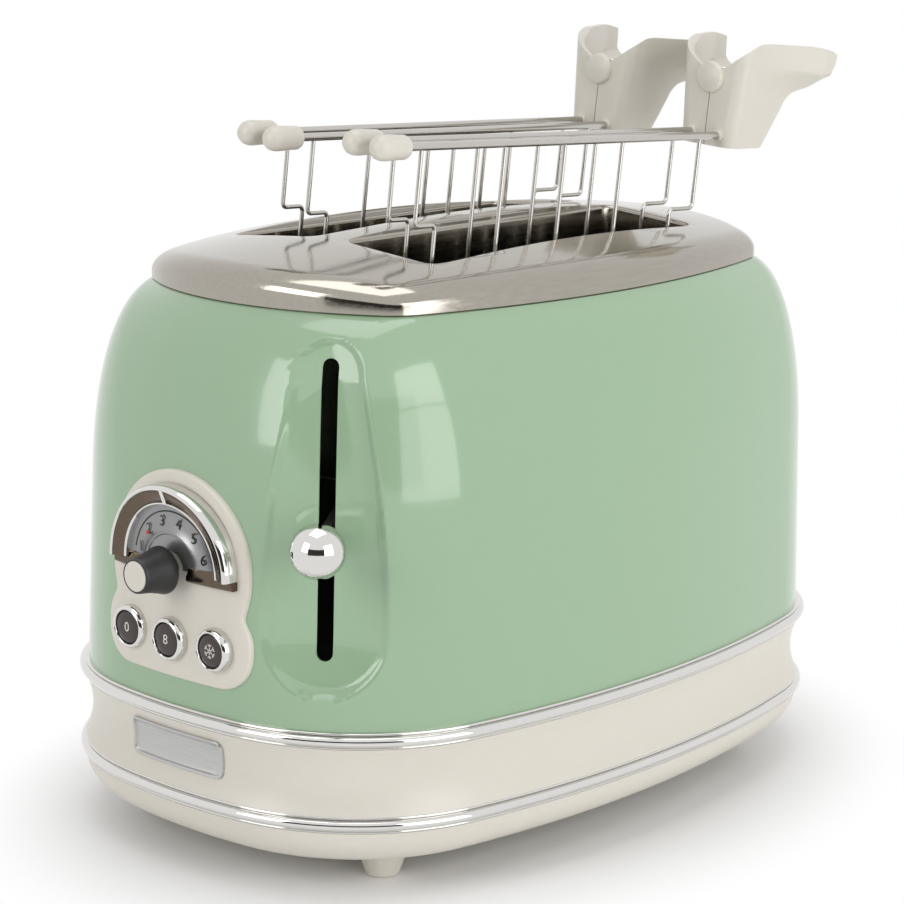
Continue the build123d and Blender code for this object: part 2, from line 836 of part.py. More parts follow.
with BuildPart() as end_frame:
    add(block(frame_start - frame_thickness, frame_start, -frame_half_width, frame_half_width, chassis_top,
              frame_top))
    for sy in (-1, 1):
        add(block(frame_start - over, frame_start + over, sy * slot_y - window_half,
                  sy * slot_y + window_half, window_low, window_high), mode=Mode.SUBTRACT)
    add(block(guide_x - guide_seat, frame_start, -frame_tab_half, frame_tab_half, frame_top,
              frame_top + frame_thickness))
    with BuildSketch(Plane.XY.offset(frame_top)):
        with Locations((guide_x, 0)):
            Circle(guide_radius)
    extrude(amount=frame_thickness, mode=Mode.SUBTRACT)

# Heat shield: one bent sheet round the far end and both sides
with BuildPart() as heat_shield:
    add(block(frame_start, frame_end + frame_thickness, -frame_half_width, frame_half_width, chassis_top,
              frame_top))
    add(block(frame_start - over, frame_end, frame_thickness - frame_half_width,
              frame_half_width - frame_thickness, chassis_top - over, frame_top + over), mode=Mode.SUBTRACT)

# Mica boards with their resistance ribbons
boards, ribbons = {}, {}
for name, y in (("front", -mica_y), ("middle", 0), ("rear", mica_y)):
    boards[f"element_board_{name}"] = block(frame_start, frame_end, y - mica_thickness / 2,
                                            y + mica_thickness / 2, mica_low, mica_top)


def ribbon(y_from, y_to):
    """Resistance ribbon laid to and fro across a board, one row above the other."""
    start, end = frame_start + ribbon_margin, frame_end - ribbon_margin
    pitch = (mica_top - mica_low - 2 * ribbon_margin) / ribbon_turns
    with BuildPart() as winding:
        with BuildSketch(Plane.XZ.offset(-y_from)):
            for row in range(ribbon_turns + 1):
                z = mica_low + ribbon_margin + row * pitch
                with Locations(((start + end) / 2, z)):
                    Rectangle(end - start, ribbon_width)
                if row < ribbon_turns:
                    with Locations((end if row % 2 else start, z + pitch / 2)):
                        Rectangle(ribbon_width, pitch + ribbon_width)
        extrude(amount=-(y_to - y_from))
    return winding.part


half_mica = mica_thickness / 2
ribbons["element_ribbon_front"] = ribbon(half_mica - mica_y, half_mica - mica_y + ribbon_thickness)
ribbons["element_ribbon_rear"] = ribbon(mica_y - half_mica, mica_y - half_mica - ribbon_thickness)
with BuildPart() as middle_ribbon:
    add(ribbon(half_mica, half_mica + ribbon_thickness))
    add(ribbon(-half_mica, -half_mica - ribbon_thickness))
    reach = half_mica + ribbon_thickness
    link_x = frame_start + 2 * ribbon_margin
    link_low = mica_top - ribbon_margin
    add(block(link_x, link_x + ribbon_width, -reach, -half_mica, link_low, mica_top + ribbon_thickness))
    add(block(link_x, link_x + ribbon_width, half_mica, reach, link_low, mica_top + ribbon_thickness))
    add(block(link_x, link_x + ribbon_width, -reach, reach, mica_top, mica_top + ribbon_thickness))
ribbons["element_ribbon_middle"] = middle_ribbon.part


def guard(y):
    """Bread guard: upright wires between two rails."""
    with BuildPart() as frame:
        for z in (mica_low, guard_top):
            add(tube_run(guard_radius, frame_start, frame_end, y, z))
        pitch = (frame_end - frame_start) / (guard_count + 1)
        with BuildSketch(Plane.XY.offset(mica_low)):
            with Locations(*[(frame_start + pitch * (step + 1), y) for step in range(guard_count)]):
                Circle(guard_upright_radius)
        extrude(amount=guard_top - mica_low)
    return frame.part


guards = {}
for name, sy in (("front", -1), ("rear", 1)):
    with BuildPart() as cage:
        for offset in (guard_offset, -guard_offset):
            add(guard(sy * slot_y + offset))
        for x in (frame_start + guard_cross_inset, frame_end - guard_cross_inset):
            with BuildSketch(Plane.XZ.offset(guard_cross_half - sy * slot_y)):
                with Locations((x, mica_low - guard_cross_drop)):
                    Circle(guard_cross_radius)
            extrude(amount=-2 * guard_cross_half)
    guards[f"bread_cage_{name}"] = cage.part

# Carriage on its guide rod
slope = radians(lever_angle)
slot_x = surround_x + sin(radians(surround_lean)) * cos(slope) * (lever_z - surround_z)
slot_side = surround_y + sin(radians(surround_lean)) * sin(slope) * (lever_z - surround_z)
ball = Vector(slot_x - cos(slope) * lever_ball_reach, slot_side - sin(slope) * lever_ball_reach, lever_z)
arm_end = Vector(carriage_x, slot_side + (carriage_x - slot_x) * sin(slope) / cos(slope), lever_z)
arm_length = (ball - arm_end).length

with BuildPart() as carriage:
    with BuildSketch(Plane(origin=arm_end, x_dir=(sin(slope), -cos(slope), 0), z_dir=ball - arm_end)):
        Rectangle(lever_arm_thickness, lever_arm_height)
    extrude(amount=arm_length - lever_arm_sink)
    split(bisect_by=Plane.YZ.offset(carriage_x - carriage_thickness / 2), keep=Keep.BOTTOM)
    add(block(carriage_x - carriage_thickness, carriage_x, -carriage_half_width, carriage_half_width,
              carriage_low, carriage_top))
    with BuildSketch(Plane.XY.offset(carriage_low)):
        with Locations(((guide_x + carriage_x) / 2, 0)):
            Rectangle(carriage_x - guide_x, 2 * sleeve_radius)
        with Locations((guide_x, 0)):
            Circle(sleeve_radius)
        with Locations((guide_x, 0)):
            Circle(guide_radius + running_clearance, mode=Mode.SUBTRACT)
    extrude(amount=carriage_thickness)

# Lift slider: it rides on the carriage's foot, and the tongs are lifted with it
with BuildPart() as carriage_sleeve:
    with BuildSketch(Plane.XY.offset(carriage_low + carriage_thickness + sleeve_gap)):
        with Locations((guide_x, 0)):
            Circle(sleeve_radius - sleeve_gap)
        with Locations((guide_x, 0)):
            Circle(guide_radius + running_clearance, mode=Mode.SUBTRACT)
    extrude(amount=sleeve_height)

rests = {}
for name, sy in (("front", -1), ("rear", 1)):
    with BuildPart() as rest:
        add(block(carriage_x, frame_start + rest_end_gap, sy * slot_y - rest_tongue_half,
                  sy * slot_y + rest_tongue_half, rest_top - rest_thickness, rest_top))
        add(block(frame_start + rest_end_gap, frame_end - rest_end_gap, sy * slot_y - rest_half_width,
                  sy * slot_y + rest_half_width, rest_top - rest_thickness, rest_top))
        add(block(carriage_x, frame_end - 2 * rest_end_gap, sy * slot_y - rest_thickness / 2,
                  sy * slot_y + rest_thickness / 2, rest_top - rest_rib_height, rest_top - rest_thickness))
    rests[f"bread_rest_{name}"] = rest.part

with BuildPart() as lever_ball:
    with BuildSketch(Plane.XY.offset(lever_z).move(Location((ball.X, ball.Y, 0)))):
        Circle(lever_ball_radius)
        Rectangle(4 * lever_ball_radius, 2 * lever_ball_radius, align=(Align.CENTER, Align.MAX),
                  mode=Mode.SUBTRACT)
    revolve(axis=Axis((ball.X, ball.Y, lever_z), (1, 0, 0)))
    add(carriage.part, mode=Mode.SUBTRACT)

with BuildPart() as guide_rod:
    with BuildSketch(Plane.XY.offset(chassis_top)):
        with Locations((guide_x, 0)):
            Circle(guide_radius)
    extrude(amount=frame_top + frame_thickness - chassis_top)

spring_top = carriage_low - sleeve_gap
with BuildPart() as return_spring:
    with BuildLine():
        coil = Helix(spring_pitch, spring_top - chassis_top - 2 * spring_wire, spring_radius,
                     center=(guide_x, 0, chassis_top + spring_wire))
    with BuildSketch(Plane(origin=coil @ 0, z_dir=coil % 0)):
        Circle(spring_wire)
    sweep()

# Holding magnet under the armature
with BuildPart() as armature:
    add(block(carriage_x - carriage_thickness - armature_size, carriage_x - carriage_thickness,
              armature_y - armature_size / 2, armature_y + armature_size / 2, carriage_low,
              carriage_low + armature_height))

magnet_x = carriage_x - carriage_thickness - armature_size / 2
with BuildPart() as magnet_core:
    with BuildSketch(Plane.XY.offset(chassis_top)):
        with Locations((magnet_x, armature_y)):
            Rectangle(armature_size, armature_size)
    extrude(amount=magnet_foot)
    with BuildSketch(Plane.XY.offset(chassis_top)):
        with Locations((magnet_x, armature_y)):
            Circle(magnet_core_radius)
    extrude(amount=magnet_top - chassis_top)

with BuildPart() as magnet_coil:
    with BuildSketch(Plane.XY.offset(chassis_top + magnet_foot)):
        with Locations((magnet_x, armature_y)):
            Circle(magnet_coil_radius)
            Circle(magnet_core_radius, mode=Mode.SUBTRACT)
    extrude(amount=magnet_top - chassis_top - magnet_foot - magnet_coil_gap)

# Crumb tray with its front, running on the ribs of the base
with BuildPart() as crumb_tray:
    add(block(tray_start, tray_end, -tray_half_width, tray_half_width, tray_low, tray_top))
    add(block(tray_start + tray_sheet, tray_end - tray_sheet, -tray_half_width + tray_sheet,
              tray_half_width - tray_sheet, tray_low + tray_sheet, tray_top + over), mode=Mode.SUBTRACT)

with BuildPart() as crumb_tray_front:
    add(block(tray_end, half_length + over, -tray_half_width, tray_half_width, tray_low, tray_top))
    add(band_outer, mode=Mode.INTERSECT)

with BuildPart() as cord_gland:
    wall_y = half_width + band_grow
    with BuildSketch(Plane.XZ.offset(-wall_y)):
        with Locations((gland_x, gland_z)):
            Circle(gland_flange)
    extrude(amount=-gland_flange_height)
    add(band_outer, mode=Mode.SUBTRACT)
    with BuildSketch(Plane.XZ.offset(gland_nose - wall_y)):
        with Locations((gland_x, gland_z)):
            Circle(gland_radius)
    extrude(amount=-2 * gland_nose)
    with BuildSketch(Plane.XZ.offset(over - wall_y)):
        with Locations((gland_x, gland_z)):
            Circle(gland_bore)
    extrude(amount=-2 * over, mode=Mode.SUBTRACT)


# Sandwich tongs, drawn lying square in their own frame and then placed
def tong_place(x, y, z, lean, tilt, turn):
    """Where a tong stands: its near rod end, then turned, tilted and leant."""
    return Pos(x, y, z) * Rot(0, 0, turn) * Rot(0, tilt, 0) * Rot(lean, 0, 0)


def seated_drop(z, lean, tilt):
    """How far down a tong's lowest wire may reach without touching the bread rest."""
    lean, tilt = radians(lean), radians(tilt)
    room = z - wire_last * sin(tilt) - tong_gap / 2 * sin(lean) - rest_top - tong_seat_gap - wire_radius
    return room / cos(tilt) / cos(lean)


tong_drop = min(seated_drop(front_tong_z, front_tong_lean, front_tong_tilt),
                seated_drop(rear_tong_z, rear_tong_lean, rear_tong_tilt))


def wire(points, radius, bend):
    """Bent wire through the given points."""
    with BuildPart() as bent:
        with BuildLine():
            path = FilletPolyline(*points, radius=bend)
        with BuildSketch(Plane(origin=path @ 0, z_dir=path % 0)):
            Circle(radius)
        sweep()
    return bent.part


def jaw(side):
    """Wire jaw on one side of the tong: rod, end loop and upright wires with hooked feet."""
    y = side * tong_gap / 2
    foot = y - side * hook_length
    gap = (wire_last - wire_first) / (wire_count - 1)
    loop = ((jog_near, y, 0), (jog_near, y, -jog_drop), (wire_first, y, -jog_drop),
            (wire_first, y, -tong_drop), (wire_last, y, -tong_drop), (wire_last, y, -jog_drop),
            (jog_far, y, -jog_drop), (jog_far, y, 0))
    with BuildPart() as frame:
        add(tube_run(rod_radius, cap_start + cap_length - cap_grip, tong_length + handle_wall, y, 0))
        add(wire(loop, wire_radius, jog_round))
        for step in range(1, wire_count - 1):
            x = wire_first + step * gap
            add(wire(((x, y, 0), (x, y, -tong_drop), (x, foot, -tong_drop)), wire_radius, jog_round))
    return frame.part


def cap(side):
    """Rounded plastic cap on the near end of a rod."""
    y = side * tong_gap / 2
    with BuildPart() as end:
        add(tube_run(cap_radius, cap_start, cap_start + cap_length, y, 0))
        fillet(end.faces().sort_by(Axis.X)[0].edges(), cap_end_round)
        fillet(end.faces().sort_by(Axis.X)[-1].edges(), cap_mouth_round)
        add(tube_run(rod_radius, cap_start + cap_length - cap_grip, cap_start + cap_length + over, y, 0),
            mode=Mode.SUBTRACT)
    return end.part


def handle(side, lug_x):
    """Half of the peg handle: front plate, side wall, flared wing and its lug, or the pivot itself."""
    wall = handle_wall
    front = ((side * lug_gap, handle_low), (side * handle_low_half, handle_low),
             (side * handle_mid_half, pivot_height), (side * handle_top_half, handle_top),
             (side * (handle_top_half - handle_top_edge), handle_top),
             (side * lug_gap, pivot_height + handle_notch_rise))
    profile = ((0, handle_low), (handle_low_depth, handle_low), (handle_belly_depth, handle_belly_height),
               (handle_depth, handle_top - handle_end_height), (handle_depth, handle_top), (0, handle_top))
    root = side * (handle_mid_half - wall)
    with BuildPart() as half:
        with BuildSketch(Plane(origin=(tong_length, 0, 0), x_dir=(0, 1, 0), z_dir=(1, 0, 0))):
            Polygon(*front, align=None)
            with Locations((0, pivot_height)):
                Circle(lug_radius + (0 if lug_x == 0 else lug_gap), mode=Mode.SUBTRACT)
        extrude(amount=wall)
        with BuildSketch(Plane(origin=(tong_length, root, 0), x_dir=(1, 0, 0), z_dir=(0, -1, 0))):
            Polygon(*profile, align=None)
        extrude(amount=-side * wall)
        for x, reach, high in ((tong_length, handle_mid_half + wing_start_out, handle_top - wing_drop),
                               (tong_length + handle_depth, wing_half, handle_top - wall)):
            low = handle_top - wing_drop - wing_thickness
            with BuildSketch(Plane(origin=(x, 0, 0), x_dir=(0, 1, 0), z_dir=(1, 0, 0))):
                Polygon((root, low), (root + side * wall, low), (side * reach, high),
                        (side * reach, high + wall), (root, high + wing_root_rise), align=None)
        loft()
        with BuildSketch(Plane(origin=(tong_length + lug_x, 0, 0), x_dir=(0, 1, 0), z_dir=(1, 0, 0))):
            with Locations((0, pivot_height)):
                Circle(lug_radius)
            with Locations((side * handle_mid_half / 2, pivot_height)):
                Rectangle(handle_mid_half - lug_arm_end_gap, 2 * lug_arm_half)
        extrude(amount=wall)
        add(tube_run(rod_radius, tong_length - wall, tong_length + 2 * wall, side * tong_gap / 2, 0),
            mode=Mode.SUBTRACT)
        if lug_x:
            add(tube_run(pivot_radius + lug_clearance, tong_length - wall, tong_length + lug_x + 2 * wall,
                         0, pivot_height), mode=Mode.SUBTRACT)
        else:
            add(tube_run(pivot_radius, tong_length, tong_length + pivot_end, 0, pivot_height))
            add(tube_run(pivot_head_radius, tong_length - pivot_head_height, tong_length, 0, pivot_height))
            fillet(half.faces().sort_by(Axis.X)[0].edges(), pivot_head_round)
            add(tube_run(coil_radius + 2 * coil_wire, tong_length + pivot_end,
                         tong_length + pivot_end + pivot_stop, 0, pivot_height))
    return half.part


with BuildPart() as coil_form:
    with BuildLine():
        turns = Helix(coil_pitch, coil_pitch * coil_turns, coil_radius,
                      center=(tong_length + 2 * handle_wall + 2 * lug_gap + coil_wire, 0, pivot_height),
                      direction=(1, 0, 0))
    with BuildSketch(Plane(origin=turns @ 0, z_dir=turns % 0)):
        Circle(coil_wire)
    sweep()

pieces = {"wires_front": jaw(-1), "wires_rear": jaw(1), "cap_front": cap(-1), "cap_rear": cap(1),
          "handle_front": handle(-1, 0), "handle_rear": handle(1, handle_wall + lug_gap),
          "spring": coil_form.part}
front_place = tong_place(front_tong_x, front_tong_y, front_tong_z, front_tong_lean, front_tong_tilt,
                         front_tong_turn)
rear_place = tong_place(rear_tong_x, rear_tong_y, rear_tong_z, rear_tong_lean, rear_tong_tilt,
                        rear_tong_turn)
tongs = {}
for name, place in (("front", front_place), ("rear", rear_place)):
    for piece, form in pieces.items():
        tongs[f"{name}_tong_{piece}"] = place * form

os.makedirs("parts", exist_ok=True)
base_tray.part.label = "base_tray"
export_step(base_tray.part, "parts/base_tray.step")
lower_trim_ring.part.label = "lower_trim_ring"
export_step(lower_trim_ring.part, "parts/lower_trim_ring.step")
cream_band.part.label = "cream_band"
export_step(cream_band.part, "parts/cream_band.step")
badge_plate.part.label = "badge_plate"
export_step(badge_plate.part, "parts/badge_plate.step")
upper_trim_ring.part.label = "upper_trim_ring"
export_step(upper_trim_ring.part, "parts/upper_trim_ring.step")
outer_shell.part.label = "outer_shell"
export_step(outer_shell.part, "parts/outer_shell.step")
top_plate.part.label = "top_plate"
export_step(top_plate.part, "parts/top_plate.step")
control_panel.part.label = "control_panel"
export_step(control_panel.part, "parts/control_panel.step")
dial_plate.part.label = "dial_plate"
export_step(dial_plate.part, "parts/dial_plate.step")
dial_bezel.part.label = "dial_bezel"
export_step(dial_bezel.part, "parts/dial_bezel.step")
browning_knob.part.label = "browning_knob"
export_step(browning_knob.part, "parts/browning_knob.step")
knob_cap.part.label = "knob_cap"
export_step(knob_cap.part, "parts/knob_cap.step")
knob_shaft.part.label = "knob_shaft"
export_step(knob_shaft.part, "parts/knob_shaft.step")
browning_control.part.label = "browning_control"
export_step(browning_control.part, "parts/browning_control.step")
circuit_board.part.label = "circuit_board"
export_step(circuit_board.part, "parts/circuit_board.step")
chassis_plate.part.label = "chassis_plate"
export_step(chassis_plate.part, "parts/chassis_plate.step")
end_frame.part.label = "end_frame"
export_step(end_frame.part, "parts/end_frame.step")
heat_shield.part.label = "heat_shield"
export_step(heat_shield.part, "parts/heat_shield.step")
chassis_screws.part.label = "chassis_screws"
export_step(chassis_screws.part, "parts/chassis_screws.step")
carriage.part.label = "carriage"
export_step(carriage.part, "parts/carriage.step")
carriage_sleeve.part.label = "carriage_sleeve"
export_step(carriage_sleeve.part, "parts/carriage_sleeve.step")
lever_ball.part.label = "lever_ball"
export_step(lever_ball.part, "parts/lever_ball.step")
guide_rod.part.label = "guide_rod"
export_step(guide_rod.part, "parts/guide_rod.step")
return_spring.part.label = "return_spring"
export_step(return_spring.part, "parts/return_spring.step")
armature.part.label = "armature"
export_step(armature.part, "parts/armature.step")
magnet_core.part.label = "magnet_core"
export_step(magnet_core.part, "parts/magnet_core.step")
magnet_coil.part.label = "magnet_coil"
export_step(magnet_coil.part, "parts/magnet_coil.step")
crumb_tray.part.label = "crumb_tray"
export_step(crumb_tray.part, "parts/crumb_tray.step")
crumb_tray_front.part.label = "crumb_tray_front"
export_step(crumb_tray_front.part, "parts/crumb_tray_front.step")
cord_gland.part.label = "cord_gland"
export_step(cord_gland.part, "parts/cord_gland.step")
for group in (button_rings, buttons, boards, ribbons, guards, rests, tongs):
    for name, solid in group.items():
        solid.label = name
        export_step(solid, f"parts/{name}.step")
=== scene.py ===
import bmesh
import bpy
import json
from math import atan2, cos, hypot, pi, radians, sin, sqrt
from mathutils import Matrix, Vector
from mathutils.geometry import delaunay_2d_cdt


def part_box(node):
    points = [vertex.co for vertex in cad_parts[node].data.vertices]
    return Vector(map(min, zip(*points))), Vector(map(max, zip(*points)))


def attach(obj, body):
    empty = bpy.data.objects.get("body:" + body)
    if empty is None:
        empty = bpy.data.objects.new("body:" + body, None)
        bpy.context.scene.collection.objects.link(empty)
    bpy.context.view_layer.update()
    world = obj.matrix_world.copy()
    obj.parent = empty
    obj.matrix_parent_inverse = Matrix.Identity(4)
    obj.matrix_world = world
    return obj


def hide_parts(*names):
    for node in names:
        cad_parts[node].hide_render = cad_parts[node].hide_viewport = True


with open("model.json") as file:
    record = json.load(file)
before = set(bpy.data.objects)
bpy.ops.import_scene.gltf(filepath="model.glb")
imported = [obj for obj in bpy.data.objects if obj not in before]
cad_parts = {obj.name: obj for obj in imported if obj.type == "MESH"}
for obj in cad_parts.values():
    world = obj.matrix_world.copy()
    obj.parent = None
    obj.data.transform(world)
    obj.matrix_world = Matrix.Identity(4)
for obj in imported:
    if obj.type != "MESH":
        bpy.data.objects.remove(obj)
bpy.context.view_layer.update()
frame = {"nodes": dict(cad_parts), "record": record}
nodes = frame["nodes"]

# The toaster's sizes are in millimetres and become metres where a mesh is made
MM = 0.001

# Plan of the casing: half length, half width, end, side and corner radius
PLAN = (150.0, 97.0, 211.0, 460.0, 69.0)
SHELL_PLAN = (153.0, 100.0, 214.0, 463.0, 72.0)
PLATE_PLAN = (127.0, 79.8, 100.0, 340.0, 21.0)
PLAN_STEPS, SHELL_PLAN_STEPS = (10, 30, 14), (18, 110, 16)
BASE_Z, LOWER_RING_Z, BAND_Z, UPPER_RING_Z, SHELL_Z, PLATE_Z = 11.6, 25.6, 31.6, 56.2, 62.2, 202.8
DOME_Z, DOME_ALONG, DOME_ACROSS = 223.3, 1000.0, 320.0
SHELL_RISE, SHELL_LEAN, SHELL_ROWS = 140.6, 0.0435, 60
SHOULDER_HEIGHT, SHOULDER_TURN, SHOULDER_INSET = 65.6, radians(74.7), 26.8
SHOULDER_START = SHELL_RISE - SHOULDER_HEIGHT
SHOULDER_DROP = SHOULDER_HEIGHT / sin(SHOULDER_TURN)
SHEET = 1.2
SMOOTH_ANGLE, NODE_SMOOTH_ANGLE = radians(38), radians(32)
SLOT_START, SLOT_END, SLOT_Y, SLOT_WIDTH, SLOT_ROUND = -75.0, 79.0, 29.05, 41.5, 5.0
LEVER_TURN, LEVER_LEAN = radians(35), radians(4)
LEVER_ORIGIN = Vector((-135.5, -56.75, 108.0))
LEVER_SLOT_LOW, LEVER_SLOT_TOP, LEVER_SLOT_WIDTH = 85.6, 190.1, 5.8
PANEL_HEIGHT, DIAL_Z, BUTTON_Z, BUTTON_PITCH = 2.0, 112.1, 86.3, 21.3


def mesh_piece(name, points, faces, look, body, stands_for=(), smooth=True):
    """Mesh object from points in millimetres, dressed and riding on a body."""
    mesh = bpy.data.meshes.new(name)
    mesh.from_pydata([Vector(p) * MM for p in points], [], faces)
    mesh.validate()
    return dress(name, mesh, look, body, stands_for, smooth)


def dress(name, mesh, look, body, stands_for=(), smooth=True):
    """Object of a finished mesh with its material, on its body."""
    for polygon in mesh.polygons:
        polygon.use_smooth = smooth
    if smooth:
        mesh.set_sharp_from_angle(angle=SMOOTH_ANGLE)
    mesh.materials.append(look)
    piece = bpy.data.objects.new(name, mesh)
    bpy.context.scene.collection.objects.link(piece)
    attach(piece, body)
    if stands_for:
        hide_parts(*stands_for)
    return piece


# Materials: a principled shader whose colour, roughness and bump vary with fine noise
NOISE_LOW, NOISE_HIGH, COAT_ROUGHNESS, BUMP_DISTANCE, SMOOTHEST = 0.25, 0.75, 0.04, 0.0002, 0.02


def finish(name, colour, roughness, metallic=0.0, coat=0.0, grain=900.0, tint=0.03, uneven=0.04, bump=0.02,
           stretch=(1, 1, 1)):
    """Material of one colour with its roughness, metal, clear coat and grain."""
    look = bpy.data.materials.new(name)
    look.use_nodes = True
    tree = look.node_tree
    shader = tree.nodes["Principled BSDF"]
    shader.inputs["Metallic"].default_value = metallic
    shader.inputs["Coat Weight"].default_value = coat
    shader.inputs["Coat Roughness"].default_value = COAT_ROUGHNESS
    place = tree.nodes.new("ShaderNodeTexCoord")
    mapping = tree.nodes.new("ShaderNodeMapping")
    mapping.inputs["Scale"].default_value = stretch
    noise = tree.nodes.new("ShaderNodeTexNoise")
    noise.inputs["Scale"].default_value = grain
    noise.inputs["Detail"].default_value = 5.0
    tree.links.new(place.outputs["Object"], mapping.inputs["Vector"])
    tree.links.new(mapping.outputs["Vector"], noise.inputs["Vector"])
    shade = tree.nodes.new("ShaderNodeValToRGB")
    for stop, position, side in ((0, NOISE_LOW, -1), (1, NOISE_HIGH, 1)):
        shade.color_ramp.elements[stop].position = position
        shade.color_ramp.elements[stop].color = [min(1, c * (1 + side * tint)) for c in colour] + [1]
    tree.links.new(noise.outputs["Fac"], shade.inputs["Fac"])
    tree.links.new(shade.outputs["Color"], shader.inputs["Base Color"])
    rough = tree.nodes.new("ShaderNodeMapRange")
    rough.inputs["From Min"].default_value = NOISE_LOW
    rough.inputs["From Max"].default_value = NOISE_HIGH
    rough.inputs["To Min"].default_value = max(SMOOTHEST, roughness - uneven)
    rough.inputs["To Max"].default_value = roughness + uneven
    tree.links.new(noise.outputs["Fac"], rough.inputs["Value"])
    tree.links.new(rough.outputs["Result"], shader.inputs["Roughness"])
    relief = tree.nodes.new("ShaderNodeBump")
    relief.inputs["Strength"].default_value = bump
    relief.inputs["Distance"].default_value = BUMP_DISTANCE
    tree.links.new(noise.outputs["Fac"], relief.inputs["Height"])
    tree.links.new(relief.outputs["Normal"], shader.inputs["Normal"])
    return look


enamel = finish("green_enamel", (0.335, 0.492, 0.318), 0.13, coat=0.5, grain=260, tint=0.006, bump=0.006)
cream = finish("cream_plastic", (0.76, 0.72, 0.64), 0.32, grain=260, tint=0.008, bump=0.008)
chrome = finish("chromed_trim", (0.70, 0.69, 0.67), 0.05, metallic=1.0, grain=300, tint=0.01, uneven=0.02,
                bump=0.004)
# Painted shade: chrome given a dark brown colour where the dial's bevel and bar show only dark reflections
chrome_painted_shade = finish("chrome_painted_shade", (0.13, 0.10, 0.075), 0.10, metallic=1.0, grain=300, tint=0.05, bump=0.006)
steel = finish("polished_steel", (0.39, 0.365, 0.32), 0.12, metallic=1.0, grain=900, tint=0.05, uneven=0.05,
               bump=0.02, stretch=(0.05, 1, 1))
sheet_steel = finish("sheet_steel", (0.55, 0.54, 0.52), 0.34, metallic=1.0, grain=500, tint=0.08, bump=0.05)
wire_steel = finish("tong_steel", (0.55, 0.53, 0.50), 0.22, metallic=1.0, grain=1500, tint=0.06, bump=0.03)
badge_metal = finish("badge_metal", (0.50, 0.50, 0.49), 0.36, metallic=1.0, grain=1500, tint=0.06, bump=0.06,
                     stretch=(1, 0.06, 1))
dial_grey = finish("dial_grey", (0.30, 0.30, 0.30), 0.30, metallic=0.8, grain=1200, tint=0.05, bump=0.03)
black = finish("black_plastic", (0.018, 0.018, 0.018), 0.42, grain=1800, tint=0.10, bump=0.06)
brown = finish("button_brown", (0.045, 0.032, 0.028), 0.18, grain=900, tint=0.05, bump=0.02)
ink = finish("printed_ink", (0.015, 0.015, 0.015), 0.5, grain=1500, tint=0.05)
red_ink = finish("printed_red", (0.65, 0.04, 0.03), 0.5, grain=1500, tint=0.05)
white_ink = finish("printed_white", (0.78, 0.76, 0.72), 0.5, grain=1500, tint=0.02)
mica = finish("mica", (0.56, 0.47, 0.36), 0.55, grain=120, tint=0.12, bump=0.10)
nichrome = finish("resistance_wire", (0.34, 0.31, 0.29), 0.40, metallic=1.0, grain=800, tint=0.08)
copper = finish("copper_winding", (0.60, 0.28, 0.13), 0.35, metallic=1.0, grain=120, tint=0.10, bump=0.3,
                stretch=(0.1, 0.1, 12))
board_green = finish("board_green", (0.05, 0.20, 0.09), 0.35, grain=400, tint=0.2, bump=0.08)
looks = {"cream_plastic": cream, "chromed_trim": chrome, "badge_metal": badge_metal, "green_enamel": enamel,
         "polished_steel": steel, "dial_grey": dial_grey, "black_plastic": black, "sheet_steel": sheet_steel,
         "board_green": board_green, "screw_steel": wire_steel, "copper_winding": copper,
         "button_brown": brown, "mica": mica, "resistance_wire": nichrome, "tong_steel": wire_steel}
for part in frame["record"]["subparts"]:
    mesh = nodes[part["node"]].data
    mesh.materials.clear()
    mesh.materials.append(looks[part["material_slot"]])
    for polygon in mesh.polygons:
        polygon.use_smooth = True
    mesh.set_sharp_from_angle(angle=NODE_SMOOTH_ANGLE)


# The casing's bowed plan: eight arcs, each sampled evenly
def outline(sizes, grow=0.0, steps=PLAN_STEPS):
    """Points with outward normals, anticlockwise from the far end; grow moves them out."""
    length, width, end_r, side_r, corner_r = sizes
    end_x, side_y = length - end_r, width - side_r
    reach_end, reach_side = end_r - corner_r, side_r - corner_r
    span = hypot(end_x, side_y)
    along = (reach_end**2 - reach_side**2 + span**2) / (2 * span)
    off = sqrt(reach_end**2 - along**2)
    ux, uy = -end_x / span, side_y / span
    cx, cy = end_x + ux * along - uy * off, uy * along + ux * off
    first, second = atan2(cy, cx - end_x), atan2(cy - side_y, cx)
    arcs = ((end_x, 0, end_r, 0, first, steps[0]), (cx, cy, corner_r, first, second, steps[1]),
            (0, side_y, side_r, second, pi / 2, steps[2]))
    quarter = []
    for x, y, radius, start, stop, count in arcs:
        for step in range(count):
            turn = start + (stop - start) * step / count
            reach = radius + grow
            quarter.append((x + reach * cos(turn), y + reach * sin(turn), cos(turn), sin(turn)))
    quarter.append((0, width + grow, 0, 1))
    half = quarter + [(-x, y, -nx, ny) for x, y, nx, ny in reversed(quarter[:-1])]
    return half + [(x, -y, nx, -ny) for x, y, nx, ny in reversed(half[1:-1])]


def ring_faces(count, rows, start=0):
    """Quads between rows of count points that go round."""
    return [(start + row * count + i, start + row * count + (i + 1) % count,
             start + (row + 1) * count + (i + 1) % count, start + (row + 1) * count + i)
            for row in range(rows - 1) for i in range(count)]


def swept(name, profile, look, stands_for, closed=False):
    """Profile of (outward, height) points carried round the casing's plan."""
    rows = [[(x, y, z) for x, y, _, _ in outline(PLAN, grow)] for grow, z in profile]
    if closed:
        rows.append(rows[0])
    points = [p for row in rows for p in row]
    return mesh_piece(name, points, ring_faces(len(rows[0]), len(rows)), look, "casing", stands_for)


def arc_profile(cx, cz, radius, start, stop, steps):
    """Points of an arc in a profile, angles in degrees."""
    turns = [radians(start + (stop - start) * i / steps) for i in range(steps + 1)]
    return [(cx + radius * cos(t), cz + radius * sin(t)) for t in turns]


